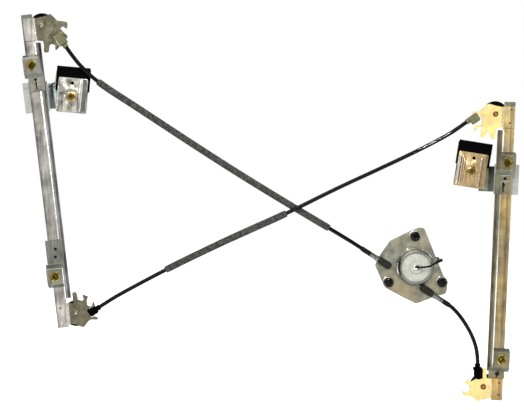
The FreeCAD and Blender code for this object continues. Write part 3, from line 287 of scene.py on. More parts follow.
LAMPS = {
    "key_light": ((-1.3, -1.9, 1.9), 1.3, 34),
    "glint_light": ((-0.1, -2.0, 1.3), 0.07, 22),
    "fill_light": ((1.9, -1.2, 0.7), 0.9, 12),
    "top_light": ((-0.2, -0.1, 2.1), 1.6, 10),
    "back_light": ((0.4, 2.2, 1.4), 1.6, 8),
}
LAMP_TARGET = Vector((-0.2, 0, 0.1))
CAMERA_PLACE = (-0.2048, -1.81, 0.0831)
CAMERA_LENS, CAMERA_SENSOR = 92.98, 36.0
FLOOR_REACH = 8.0
ROOM_BY_HEIGHT = ((0.0, 0.05), (0.42, 0.08), (0.5, 0.22), (0.58, 0.45), (0.8, 0.40), (1.0, 0.3))
ROOM_BY_SIDE = ((0.0, 1.3), (0.25, 0.5), (0.5, 1.0), (0.72, 0.4), (0.9, 1.4), (1.0, 0.9))


class RegulatorSizes(bpy.types.PropertyGroup):
    """Sizes of what the dressing adds to the CAD model."""

    conduit_radius: bpy.props.FloatProperty(
        name="Conduit radius", description="Outer radius of the black conduits",
        default=2.65 * MM, unit="LENGTH")
    sleeve_radius: bpy.props.FloatProperty(
        name="Sleeve radius", description="Outer radius of the foam sleeves",
        default=4.6 * MM, unit="LENGTH")
    edge_radius: bpy.props.FloatProperty(
        name="Edge radius", description="Width of the rounded edge on stamped sheet",
        default=0.35 * MM, unit="LENGTH")
    bend_radius: bpy.props.FloatProperty(
        name="Bend radius", description="Width of the rounded bends of folded sheet",
        default=1.2 * MM, unit="LENGTH")
    bend_length: bpy.props.FloatProperty(
        name="Bend length", description="Edges of folded sheet at least this long are bends",
        default=60 * MM, unit="LENGTH")
    spring_wire: bpy.props.FloatProperty(
        name="Spring wire", description="Radius of the wire of the slack springs",
        default=0.6 * MM, unit="LENGTH")


class RegulatorColours(bpy.types.PropertyGroup):
    """Base colours of the finishes."""

    grey_zinc: bpy.props.FloatVectorProperty(
        name="Grey zinc", description="Left rail and its flanges", subtype="COLOR",
        size=3, default=(0.46, 0.43, 0.39))
    yellow_zinc: bpy.props.FloatVectorProperty(
        name="Yellow zinc", description="Right rail and its flanges", subtype="COLOR",
        size=3, default=(0.56, 0.42, 0.18))
    gold_zinc: bpy.props.FloatVectorProperty(
        name="Gold zinc", description="Right pulley brackets", subtype="COLOR",
        size=3, default=(1.0, 0.84, 0.34))
    olive_zinc: bpy.props.FloatVectorProperty(
        name="Olive zinc", description="Left pulley brackets", subtype="COLOR",
        size=3, default=(0.175, 0.162, 0.106))
    plate_zinc: bpy.props.FloatVectorProperty(
        name="Plate zinc", description="Drum plate", subtype="COLOR",
        size=3, default=(0.30, 0.305, 0.24))
    brass: bpy.props.FloatVectorProperty(
        name="Brass", description="Threaded bushes", subtype="COLOR",
        size=3, default=(0.40, 0.33, 0.10))
    black: bpy.props.FloatVectorProperty(
        name="Black", description="Conduits, pulleys, rubber and motor screws", subtype="COLOR",
        size=3, default=(0.0012, 0.0012, 0.0012))
    nylon: bpy.props.FloatVectorProperty(
        name="Nylon", description="Cable drum", subtype="COLOR",
        size=3, default=(0.52, 0.525, 0.465))


def sizes():
    return bpy.context.scene.regulator_sizes


def cosine_and_sine(degrees):
    return math.cos(math.radians(degrees)), math.sin(math.radians(degrees))


# Node helpers

def set_inputs(tree, node, values):
    """Set or link a node's inputs by name: numbers, colours, vectors or sockets."""
    for label, value in values.items():
        if isinstance(value, bpy.types.NodeSocket):
            tree.links.new(value, node.inputs[label])
        else:
            node.inputs[label].default_value = value
    return node


def add_node(tree, kind, values=None):
    return set_inputs(tree, tree.nodes.new(kind), values or {})


def math_node(tree, operation, *values, clamp=False):
    """A Math node on sockets or numbers."""
    node = tree.nodes.new("ShaderNodeMath")
    node.operation = operation
    node.use_clamp = clamp
    return set_inputs(tree, node, dict(enumerate(values))).outputs[0]


def mixed(tree, first, second, factor=1.0, blend="MULTIPLY"):
    """Two colours mixed, each a socket or (r, g, b, 1)."""
    mix = tree.nodes.new("ShaderNodeMix")
    mix.data_type = "RGBA"
    mix.blend_type = blend
    return set_inputs(tree, mix, {"Factor": factor, "A": first, "B": second}).outputs["Result"]


def noise(tree, scale, detail, roughness, stretch=(1, 1, 1)):
    """Noise on Object coordinates, stretched along the axes."""
    coordinates = add_node(tree, "ShaderNodeTexCoord")
    mapping = add_node(tree, "ShaderNodeMapping", {
        "Vector": coordinates.outputs["Object"], "Scale": stretch})
    return add_node(tree, "ShaderNodeTexNoise", {
        "Vector": mapping.outputs["Vector"], "Scale": scale, "Detail": detail,
        "Roughness": roughness}).outputs["Fac"]


def ramp(tree, factor, stops):
    """A colour ramp from (position, grey) or (position, (r, g, b)) stops."""
    node = add_node(tree, "ShaderNodeValToRGB", {"Fac": factor})
    elements = node.color_ramp.elements
    while len(elements) < len(stops):
        elements.new(0.5)
    for element, (position, colour) in zip(elements, stops):
        element.position = position
        element.color = (*((colour,) * 3 if isinstance(colour, (int, float)) else colour), 1.0)
    return node.outputs["Color"]


def bumped(tree, height, strength, distance):
    return add_node(tree, "ShaderNodeBump", {
        "Height": height, "Strength": strength, "Distance": distance}).outputs["Normal"]


def shared_tree(name, maker):
    return bpy.data.node_groups.get(name) or maker(name)


# Shader node groups and materials

def close_group(tree, results):
    """Give a shader group its outputs, from sockets by name."""
    for label in results:
        tree.interface.new_socket(label, in_out="OUTPUT", socket_type="NodeSocketFloat")
    set_inputs(tree, tree.nodes.new("NodeGroupOutput"), results)
    return tree


def open_group(name, label, default):
    """A shader group with one float input, and that input's socket inside it."""
    tree = bpy.data.node_groups.new(name, "ShaderNodeTree")
    socket = tree.interface.new_socket(label, in_out="INPUT", socket_type="NodeSocketFloat")
    socket.default_value = default
    return tree, tree.nodes.new("NodeGroupInput").outputs[label]


def sheet_metal_group(name):
    """Cloudy plating, fine rolling lines and streaks of plated sheet steel."""
    tree, cloud_scale = open_group(name, "Cloud Scale", 45.0)
    cloud = noise(tree, cloud_scale, 4.0, 0.6)
    lines = math_node(tree, "MULTIPLY", noise(tree, 240.0, 3.0, 0.6, (6, 1, 0.25)), 0.5)
    specks = math_node(tree, "MULTIPLY_ADD", noise(tree, 900.0, 2.0, 0.5), 0.25, lines)
    return close_group(tree, {
        "Cloud": cloud,
        "Tint": noise(tree, 18.0, 2.0, 0.5),
        "Streak": noise(tree, 60.0, 4.0, 0.7, (6, 1, 0.3)),
        "Roughness": math_node(tree, "MULTIPLY_ADD", cloud, 0.28, 0.22),
        "Height": math_node(tree, "MULTIPLY_ADD", cloud, 0.6, specks)})


def moulded_group(name):
    """Fine grain and faint scuffs of moulded plastic and rubber."""
    tree, base_roughness = open_group(name, "Base Roughness", 0.45)
    scuff = noise(tree, 120.0, 4.0, 0.7)
    return close_group(tree, {
        "Scuff": scuff,
        "Roughness": math_node(tree, "MULTIPLY_ADD", scuff, 0.25, base_roughness),
        "Height": noise(tree, 1500.0, 2.0, 0.5)})


def surface(tree, name, maker, values):
    """The outputs of a shared shader group with its inputs set."""
    group = tree.nodes.new("ShaderNodeGroup")
    group.node_tree = shared_tree(name, maker)
    return set_inputs(tree, group, values).outputs


def new_material(name):
    material = bpy.data.materials.new(name)
    material.use_nodes = True
    tree = material.node_tree
    return material, tree, tree.nodes["Principled BSDF"]


def shades_of(colour, dark, light):
    return [c * dark for c in colour], colour, [min(c * light, 1) for c in colour]


def plated_metal(name, colour, tint, dark=0.55, light=1.35, shift=0.0, clouds=45.0, bump=0.25,
                 streaks=0.3):
    """Plated sheet steel: clouds of darker and lighter plating that drift to a second tint."""
    material, tree, shader = new_material(name)
    sheet = surface(tree, "sheet_metal_surface", sheet_metal_group, {"Cloud Scale": clouds})
    base = ramp(tree, sheet["Cloud"], list(zip((0.3, 0.5, 0.72), shades_of(colour, dark, light))))
    drift = math_node(tree, "SUBTRACT", sheet["Tint"], 0.42)
    drift = math_node(tree, "MULTIPLY", drift, 3.0, clamp=True)
    streaked = ramp(tree, sheet["Streak"], [(0.36, 1 - streaks), (0.5, 1.0), (0.64, 1 + streaks)])
    set_inputs(tree, shader, {
        "Base Color": mixed(tree, mixed(tree, base, (*tint, 1.0), drift, "MIX"), streaked),
        "Roughness": math_node(tree, "ADD", sheet["Roughness"], shift, clamp=True),
        "Metallic": 0.9,
        "Normal": bumped(tree, sheet["Height"], bump, 0.4 * MM)})
    return material


def banded(material, side, bands, shades):
    """Multiply a finish by bands of painted light and shade across a rail and by shades along it."""
    x0, z0, turn, sign = RAILS[side]
    cosine, sine = cosine_and_sine(turn)
    tree = material.node_tree
    coordinates = add_node(tree, "ShaderNodeTexCoord").outputs["Object"]
    factors = []
    for direction, middle, start, span, stops in (
            ((cosine * sign, 0.0, -sine * sign), (x0 * cosine - z0 * sine) * sign,
             BANDS_START, BANDS_SPAN, bands),
            ((sine, 0.0, cosine), x0 * sine + z0 * cosine, SHADES_START, SHADES_SPAN, shades)):
        dot = tree.nodes.new("ShaderNodeVectorMath")
        dot.operation = "DOT_PRODUCT"
        set_inputs(tree, dot, {0: coordinates, 1: direction})
        share = math_node(tree, "MULTIPLY_ADD", dot.outputs["Value"], 1 / (span * MM),
                          -(middle + start) / span)
        factors.append(ramp(tree, share, [((place - start) / span, value) for place, value in stops]))
    base = tree.nodes["Principled BSDF"].inputs["Base Color"]
    tree.links.new(mixed(tree, base.links[0].from_socket, mixed(tree, *factors)), base)
    return material


def moulded(name, colour, roughness=0.4, bump=0.15, lighter=1.8, coat=0.0, shine=0.3):
    """Moulded plastic or rubber with fine grain and lighter scuffs."""
    material, tree, shader = new_material(name)
    skin = surface(tree, "moulded_surface", moulded_group, {"Base Roughness": roughness - 0.12})
    stops = list(zip((0.35, 0.6, 0.8), shades_of(colour, 0.8, lighter)))
    set_inputs(tree, shader, {
        "Base Color": ramp(tree, skin["Scuff"], stops), "Roughness": skin["Roughness"],
        "Coat Weight": coat, "Specular IOR Level": shine,
        "Normal": bumped(tree, skin["Height"], bump, 0.2 * MM)})
    return material


def foam_material():
    """Dark grey fabric faced foam: small cells and a lighter nap."""
    material, tree, shader = new_material("foam_sleeve")
    coordinates = add_node(tree, "ShaderNodeTexCoord")
    cells = add_node(tree, "ShaderNodeTexVoronoi", {
        "Vector": coordinates.outputs["Object"], "Scale": 900.0})
    nap = ramp(tree, noise(tree, 260.0, 5.0, 0.8), [
        (0.38, (0.009, 0.009, 0.008)), (0.5, (0.034, 0.034, 0.030)), (0.62, (0.085, 0.085, 0.076))])
    set_inputs(tree, shader, {
        "Base Color": nap, "Roughness": 0.85,
        "Normal": bumped(tree, cells.outputs["Distance"], 0.6, 0.3 * MM)})
    return material


def make_finishes():
    """Every material by its plain name."""
    look = bpy.context.scene.regulator_colours
    finishes = {"foam": foam_material()}
    for name, (colour, tint, changes) in PLATED.items():
        colour = getattr(look, colour) if isinstance(colour, str) else colour
        finishes[name] = plated_metal(name, colour, tint, **changes)
        if name in BANDS:
            banded(finishes[name], *BANDS[name], SHADES.get(name, NO_SHADES))
    for name, (colour, changes) in MOULDED.items():
        colour = getattr(look, colour) if isinstance(colour, str) else colour
        finishes[name] = moulded(name, colour, **changes)
    return finishes


FINISHES = {}


def finish_of(name):
    if not FINISHES:
        FINISHES.update(make_finishes())
    return FINISHES[name]


# What the frame is told about a piece

def slot_of(node):
    for entry in frame["record"]["subparts"]:
        if entry["node"] == node:
            return entry["material_slot"]
    raise ValueError("no slot for " + node)


def side_slot(name):
    """The slot of what sits on the left or the right rail's mounts."""
    return "grey_zinc" if "left" in name else "yellow_zinc"


def settle(piece, slot, body="root"):
    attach(piece, body)
    return piece


def stand_for(piece, node, body="root"):
    """Let a piece take the place of a CAD node, which is hidden."""
    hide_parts(node)
    return settle(piece, slot_of(node), body)


def paint(node, finish):
    """A CAD node keeps its shape and takes a finish in its material slots."""
    for slot in frame["nodes"][node].material_slots:
        slot.material = finish_of(finish)


# Mesh helpers

def add_object(name, data):
    piece = bpy.data.objects.new(name, data)
    bpy.context.scene.collection.objects.link(piece)
    return piece


def evaluated_mesh(piece):
    """A plain mesh of what a piece's modifiers or curve make."""
    depsgraph = bpy.context.evaluated_depsgraph_get()
    return bpy.data.meshes.new_from_object(piece.evaluated_get(depsgraph))


def freeze(piece):
    """Swap in the evaluated mesh and drop the modifiers."""
    mesh = evaluated_mesh(piece)
    piece.modifiers.clear()
    piece.data = mesh
    return piece


def smooth(mesh, angle):
    """Smooth shading, sharp at edges past an angle."""
    mesh.polygons.foreach_set("use_smooth", [True] * len(mesh.polygons))
    mesh.set_sharp_from_angle(angle=math.radians(angle))


def link_mesh(name, mesh, finish, angle=35.0):
    """A mesh object at the origin with its finish."""
    if mesh.materials:  # clear() also puts every face back on the first finish
        mesh.materials.clear()
    mesh.materials.append(finish_of(finish))
    smooth(mesh, angle)
    return add_object(name, mesh)


def shape_piece(name, shape, finish, angle):
    """A piece from a closed bmesh, with its faces turned outwards."""
    bmesh.ops.recalc_face_normals(shape, faces=shape.faces)
    mesh = bpy.data.meshes.new(name)
    shape.to_mesh(mesh)
    shape.free()
    return link_mesh(name, mesh, finish, angle)


def merged_copy(node, joined, rim):
    """A copy of a CAD node's mesh with its doubles merged; flat faces are joined if asked."""
    mesh = frame["nodes"][node].data.copy()
    shape = bmesh.new()
    shape.from_mesh(mesh)
    bmesh.ops.remove_doubles(shape, verts=shape.verts, dist=1e-6)
    if joined:
        bmesh.ops.dissolve_limit(shape, angle_limit=math.radians(0.6), verts=shape.verts,
                                 edges=shape.edges, delimit={"NORMAL"})
    mark_bends(shape, rim)
    shape.to_mesh(mesh)
    shape.free()
    return mesh


def mark_bends(shape, rim):
    """Full bevel weight on long outer edges, which are bends, and on raised rims at one level."""
    rim_turn, rim_depth = 0.5, 0.02 * MM
    bend_turn, sheet_width = math.radians(35), 4 * MM
    weights = shape.edges.layers.float.new("bevel_weight_edge")
    for edge in shape.edges:
        if rim is not None and edge.calc_face_angle(0) > rim_turn and edge.is_convex:
            if max(abs(vertex.co.y - rim) for vertex in edge.verts) < rim_depth:
                edge[weights] = 1.0
        if edge.calc_length() < sizes().bend_length or len(edge.link_faces) != 2:
            continue
        narrower = min(face.calc_area() / edge.calc_length() for face in edge.link_faces)
        if edge.is_convex and edge.calc_face_angle() > bend_turn and narrower > sheet_width:
            edge[weights] = 1.0


def dressed(node, finish, body="root", joined=True, rim=None):
    """A CAD node with rounded edges and bends, as a piece of its own that stands for the node."""
    piece = link_mesh(node + "_dressed", merged_copy(node, joined, rim), finish)
    bend = piece.modifiers.new("rounded_bends", "BEVEL")
    bend.width = sizes().bend_radius
    bend.segments = 4
    bend.limit_method = "WEIGHT"
    bend.use_clamp_overlap = False
    bevel = piece.modifiers.new("rounded_edges", "BEVEL")
    bevel.width = sizes().edge_radius
    bevel.segments = 2
    bevel.limit_method = "ANGLE"
    bevel.angle_limit = math.radians(30)
    bevel.harden_normals = True
    return stand_for(freeze(piece), node, body)


def within(limits, value):
    return limits[0] < value < limits[1]


def refinish(piece, finishes, choose):
    """Give faces further finishes: choose(face) is 0 for the first one."""
    for finish in finishes:
        piece.data.materials.append(finish_of(finish))
    for face in piece.data.polygons:
        face.material_index = choose(face)


def nurbs_curve(name, points, radius, resolution=12):
    """A smooth round cord through its control points."""
    curve = bpy.data.curves.new(name, "CURVE")
    curve.dimensions = "3D"
    spline = curve.splines.new("NURBS")
    spline.points.add(len(points) - 1)
    for point, place in zip(spline.points, points):
        point.co = (*place, 1.0)
    spline.order_u = 3
    spline.use_endpoint_u = True
    curve.resolution_u = resolution
    curve.bevel_depth = radius
    curve.bevel_resolution = 6
    curve.use_fill_caps = True
    return add_object(name, curve)


def centre_line(points, resolution=24):
    """Points along the smooth curve of a route, read from its own spline."""
    guide = nurbs_curve("guide", points, 0.0, resolution)
    mesh = evaluated_mesh(guide)
    line = [vertex.co.copy() for vertex in mesh.vertices]
    bpy.data.objects.remove(guide)
    bpy.data.meshes.remove(mesh)
    return line


def straight_line(start, end, steps):
    return [start.lerp(end, step / steps) for step in range(steps + 1)]


def bridge(shape, first, second, sides, part=0):
    """Faces between two rings; a ring of one vertex is a pole."""
    for step in range(sides):
        corners = (first[step % len(first)], first[(step + 1) % len(first)],
                   second[(step + 1) % len(second)], second[step % len(second)])
        shape.faces.new(list(dict.fromkeys(corners))).material_index = part


def sweep_along(name, line, radii, finish, sides=24, angle=35.0):
    """A round solid along a polyline, with a radius at each point and closed ends."""
    shape = bmesh.new()
    rings = []
    for index, place in enumerate(line):
        heading = (line[min(index + 1, len(line) - 1)] - line[max(index - 1, 0)]).normalized()
        across = heading.cross(Vector((0, 1, 0))).normalized()
        other = across.cross(heading)
        turns = [2 * math.pi * step / sides for step in range(sides)]
        rings.append([shape.verts.new(place + (across * math.cos(turn) + other * math.sin(turn))
                                      * radii[index]) for turn in turns])
    for first, second in zip(rings, rings[1:]):
        bridge(shape, first, second, sides)
    shape.faces.new(rings[0][::-1])
    shape.faces.new(rings[-1])
    return shape_piece(name, shape, finish, angle)


def turned_ring(shape, x, z, radius, level, sides):
    """Vertices on a circle about a line along Y, or the one vertex on the line itself."""
    if radius == 0:
        return [shape.verts.new((x * MM, level * MM, z * MM))]
    turns = [2 * math.pi * step / sides for step in range(sides)]
    return [shape.verts.new(((x + radius * math.cos(turn)) * MM, level * MM,
                             (z + radius * math.sin(turn)) * MM)) for turn in turns]


def turned(name, profile, axes, finishes, sides=40):
    """Solids of revolution about lines along Y through each (x, z) in axes.

    The profile is a list of (radius, level) or (radius, level, finish index); it starts and
    ends on the axis or comes back to its first point.
    """
    shape = bmesh.new()
    for x, z in axes:
        rings = [turned_ring(shape, x, z, radius, level, sides) for radius, level, *part in profile]
        for first, second, entry in zip(rings, rings[1:], profile[1:]):
            bridge(shape, first, second, sides, entry[2] if len(entry) > 2 else 0)
    bmesh.ops.remove_doubles(shape, verts=shape.verts, dist=1e-7)
    piece = shape_piece(name, shape, finishes[0], 35.0)
    for finish in finishes[1:]:
        piece.data.materials.append(finish_of(finish))
    return piece


def patch(name, corners, finish, slot, body="root"):
    """A thin patch of another finish on sheet that faces -Y, from four corners."""
    points = [Vector(corner) * MM for corner in corners]
    points += [point + Vector((0, 0.3 * MM, 0)) for point in points]
    mesh = bpy.data.meshes.new(name)
    mesh.from_pydata([tuple(point) for point in points], [], [
        (0, 1, 2, 3), (7, 6, 5, 4), (0, 4, 5, 1), (1, 5, 6, 2), (2, 6, 7, 3), (3, 7, 4, 0)])
    settle(link_mesh(name, mesh, finish), slot, body)


def bead(name, points, radius, finish, slot, body="root"):
    """A pressed bead or edge along a smooth line, thinner at its ends."""
    line = centre_line([Vector(point) * MM for point in points], 16)
    last = len(line) - 1
    radii = [radius * MM * min(1.0, 0.3 + 0.35 * min(index, last - index))
             for index in range(last + 1)]
    settle(sweep_along(name, line, radii, finish, 12, 60), slot, body)


def arc_points(radius, first, last, level, x=0.0, z=0.0):
    """Seven points on a circle about a line along Y, from one angle to another."""
    angles = [math.radians(first + (last - first) * step / 6) for step in range(7)]
    return [(x + radius * math.cos(turn), level, z + radius * math.sin(turn)) for turn in angles]


def rail_place(side, place):
    """Millimetres across (inward) and along a rail for a place in the frame."""
    x0, z0, turn, sign = RAILS[side]
    cosine, sine = cosine_and_sine(turn)
    x, z = place.x / MM - x0, place.z / MM - z0
    return (x * cosine - z * sine) * sign, x * sine + z * cosine


def rail_point(side, across, along, level):
    """The reverse of rail_place, in millimetres."""
    x0, z0, turn, sign = RAILS[side]
    cosine, sine = cosine_and_sine(turn)
    return (x0 + across * sign * cosine + along * sine, level,
            z0 - across * sign * sine + along * cosine)


# Geometry Nodes helpers

def node_tree(name, inputs):
    """A geometry tree whose inputs are Geometry, the named floats or vectors, and Material."""
    tree = bpy.data.node_groups.new(name, "GeometryNodeTree")
    tree.interface.new_socket("Geometry", in_out="INPUT", socket_type="NodeSocketGeometry")
    for label, default in inputs.items():
        kind = "NodeSocketVector" if isinstance(default, tuple) else "NodeSocketFloat"
        tree.interface.new_socket(label, in_out="INPUT", socket_type=kind).default_value = default
    tree.interface.new_socket("Material", in_out="INPUT", socket_type="NodeSocketMaterial")
    tree.interface.new_socket("Geometry", in_out="OUTPUT", socket_type="NodeSocketGeometry")
    return tree, tree.nodes.new("NodeGroupInput").outputs


def finish_tree(tree, given, geometry):
    """Realize the instances, set the material and send the geometry out."""
    realize = add_node(tree, "GeometryNodeRealizeInstances", {"Geometry": geometry})
    material = add_node(tree, "GeometryNodeSetMaterial", {
        "Geometry": realize.outputs["Geometry"], "Material": given["Material"]})
    add_node(tree, "NodeGroupOutput", {"Geometry": material.outputs["Geometry"]})
    return tree


def run_tree(name, tree, places, values):
    """Run a tree on a mesh of points and keep the result as a plain mesh object."""
    mesh = bpy.data.meshes.new(name)
    mesh.from_pydata([tuple(place) for place in places], [], [])
    piece = add_object(name, mesh)
    modifier = piece.modifiers.new("nodes", "NODES")
    modifier.node_group = tree
    names = {item.name: item.identifier for item in tree.interface.items_tree
             if item.item_type == "SOCKET" and item.in_out == "INPUT"}
    for label, value in values.items():
        modifier[names[label]] = value
    smooth(freeze(piece).data, 40.0)
    return piece


def rivet_tree(name):
    """Domed rivet heads on points, facing -Y."""
    tree, given = node_tree(name, {"Radius": 3.0 * MM, "Height": 1.0 * MM})
    ball = add_node(tree, "GeometryNodeMeshUVSphere", {
        "Segments": 28, "Rings": 14, "Radius": given["Radius"]})
    flatness = math_node(tree, "DIVIDE", given["Height"], given["Radius"])
    scale = add_node(tree, "ShaderNodeCombineXYZ", {"X": 1.0, "Y": flatness, "Z": 1.0})
    dome = add_node(tree, "GeometryNodeTransform", {
        "Geometry": ball.outputs["Mesh"], "Scale": scale.outputs["Vector"]})
    heads = add_node(tree, "GeometryNodeInstanceOnPoints", {
        "Points": given["Geometry"], "Instance": dome.outputs["Geometry"]})
    return finish_tree(tree, given, heads.outputs["Instances"])


def spring_tree(name):
    """A coil spring along one axis, from a spiral with a round wire."""
    tree, given = node_tree(name, {
        "Turns": 6.0, "Coil Radius": 3.0 * MM, "Wire Radius": 0.6 * MM, "Length": 10.0 * MM,
        "Place": (0.0, 0.0, 0.0), "Turn": (0.0, 0.0, 0.0)})
    coil = add_node(tree, "GeometryNodeCurveSpiral", {
        "Resolution": 20, "Rotations": given["Turns"], "Start Radius": given["Coil Radius"],
        "End Radius": given["Coil Radius"], "Height": given["Length"]})
    wire = add_node(tree, "GeometryNodeCurvePrimitiveCircle", {
        "Resolution": 10, "Radius": given["Wire Radius"]})
    spring = add_node(tree, "GeometryNodeCurveToMesh", {
        "Curve": coil.outputs["Curve"], "Profile Curve": wire.outputs["Curve"], "Fill Caps": True})
    lay = add_node(tree, "GeometryNodeTransform", {
        "Geometry": spring.outputs["Mesh"], "Translation": given["Place"], "Rotation": given["Turn"]})
    return finish_tree(tree, given, lay.outputs["Geometry"])


def spring_between(name, start, end, turns, coil_radius, wire_radius, finish, slot):
    """A coil spring from one point to another."""
    run = end - start
    piece = run_tree(name, shared_tree("slack_spring", spring_tree), [], {
        "Turns": float(turns), "Coil Radius": coil_radius, "Wire Radius": wire_radius,
        "Length": run.length, "Place": tuple(start),
        "Turn": tuple(run.to_track_quat("Z", "Y").to_euler()), "Material": finish_of(finish)})
    settle(piece, slot)


def rivets(name, level, radius, height, finish, axes, slot):
    """Rivet heads of one size at one level."""
    piece = run_tree(name, shared_tree("rivet_heads", rivet_tree),
                     [(x * MM, level * MM, z * MM) for x, z in axes],
                     {"Radius": radius * MM, "Height": height * MM, "Material": finish_of(finish)})
    settle(piece, slot)


class PieceOperator:
    """What the operators share; an error in one stops the script."""

    bl_options = {"REGISTER", "UNDO"}


class OBJECT_OT_regulator_rails(PieceOperator, bpy.types.Operator):
    """Finish the two guide rails"""

    bl_idname = "object.regulator_rails"
    bl_label = "Rails"

    def execute(self, context):
        for side, (sheet, flange) in RAIL_FINISHES.items():

            def choose(face):
                across = rail_place(side, face.center)[0]
                if within(RAIL_BEND, across) and within(RAIL_BEND_SLOPE, face.normal.y):
                    return 1
                return 2 if across > RAIL_FLANGE else 0

            # Bend faces take the painted highlight finish, and faces past the flange line the darker
            # painted shade finish.
            refinish(dressed(side + "_rail", sheet), ("bend_zinc", flange), choose)
        # Painted shade patches at the rails' top ends.
        for side, places in RAIL_TOP_SHADES.items():
            corners = [rail_point(side, across, along, TOP_SHADE_LEVEL) for across, along in places]
            patch(side + "_rail_tip", corners, "arm_zinc", slot_of(side + "_rail"))
        return {"FINISHED"}


class OBJECT_OT_regulator_brackets(PieceOperator, bpy.types.Operator):
    """Finish the four pulley brackets, the pulleys and their rivets"""

    bl_idname = "object.regulator_brackets"
    bl_label = "Pulley brackets"

    def execute(self, context):
        for end in PULLEYS:
            side = end.split("_")[1]
            sheet, flange = BRACKET_FINISHES[side]

            def choose(face):
                across = rail_place(side, face.center)[0]
                if within(BRACKET_BEND, across) and within(BRACKET_BEND_SLOPE, face.normal.y):
                    return 2
                return 1 if across < BRACKET_FLANGE else 0

            # Bend faces take the painted highlight finish.
            refinish(dressed(end + "_pulley_bracket", sheet), (flange, "bend_zinc"), choose)
            self.pulley(end)
            paint(end + "_cable_end", "olive_plastic" if "upper" in end else "black_rubber")
            self.rivet(end)
        paint("pulley_axles", "weld_steel")
        return {"FINISHED"}

    def pulley(self, end):
        """A grooved wheel with a hub, thinner web and rounded rims."""
        profile = [(2.6, -9.5), (6.3, -9.5), (6.8, -8.4), (14.2, -8.4), (14.7, -9.5), (16.9, -9.5),
                   (17.3, -9.1), (16.2, -7.7), (15.3, -6.9), (15.3, -6.1), (16.2, -5.3), (17.3, -3.9),
                   (16.9, -3.5), (14.7, -3.5), (14.2, -4.6), (6.8, -4.6), (6.3, -3.5), (2.6, -3.5),
                   (2.6, -9.5)]
        wheel = turned(end + "_wheel", profile, [AXLES[end]], ("black_gloss",), 64)
        stand_for(wheel, end + "_pulley", end + "_pulley_body")

    def rivet(self, end):
        """The formed head of a pulley axle on the front of its bracket; on the left brackets its
        centre is near-white as a painted highlight.
        """
        finishes = ("olive_zinc", "bend_zinc") if "left" in end else ("brown_steel", "yellow_zinc")
        profile = [(0, -13.1, 1), (1.0, -13.1, 1), (1.5, -13.5), (2.7, -13.6), (3.7, -13.05),
                   (3.75, -12.02), (0, -12.02)]
        settle(turned(end + "_rivet_head", profile, [AXLES[end]], finishes), "bright_steel")


class OBJECT_OT_regulator_mounts(PieceOperator, bpy.types.Operator):
    """Finish the mount brackets with painted shade on their joggles, their threaded bushes, painted
    shade in holes and slots, painted highlight ridges and welds
    """

    bl_idname = "object.regulator_mounts"
    bl_label = "Mounts"

    def execute(self, context):
        for end in PULLEYS:
            piece = dressed(end + "_mount_bracket", "mount_zinc" if "left" in end else "green_zinc")
            # Joggle faces under each tab take the darker finish as painted shade.
            refinish(piece, ("arm_zinc",), lambda face: int(
                face.area > JOGGLE_AREA and within(JOGGLE_SLOPE, face.normal.y)))
        self.bushes()
        for name, spot in SPOTS.items():
            rivets(name, *spot, side_slot(name))
        for name, (level, radius, finish, steps, ends) in MOUNT_BEADS.items():
            line = straight_line(*(Vector((x, level, z)) for x, z in ends), steps)
            bead(name, line, radius, finish, side_slot(name))
        return {"FINISHED"}

    def bushes(self):
        """Threaded bushes with a bright rim, and a funnel and a helical thread in darker brass as
        painted shade.
        """
        profile = [(5.4, -22.7), (6.5, -22.7), (7.0, -22.2), (7.0, -21.5), (5.0, -21.5),
                   (5.0, -15.7), (3.0, -15.7, 1), (3.0, -20.4, 1), (5.2, -22.5, 1), (5.4, -22.7)]
        stand_for(turned("threaded_bushes", profile, BUSHES, ("bush_brass", "brass_dark")),
                  "mount_bushes")
        front, back, turns = -20.2, -15.9, 4.3
        for index, (x, z) in enumerate(BUSHES):
            spring_between("bush_thread_%d" % index, Vector((x, front, z)) * MM,
                           Vector((x, back, z)) * MM, turns, 3.0 * MM, 0.32 * MM, "brass_dark",
                           slot_of("mount_bushes"))


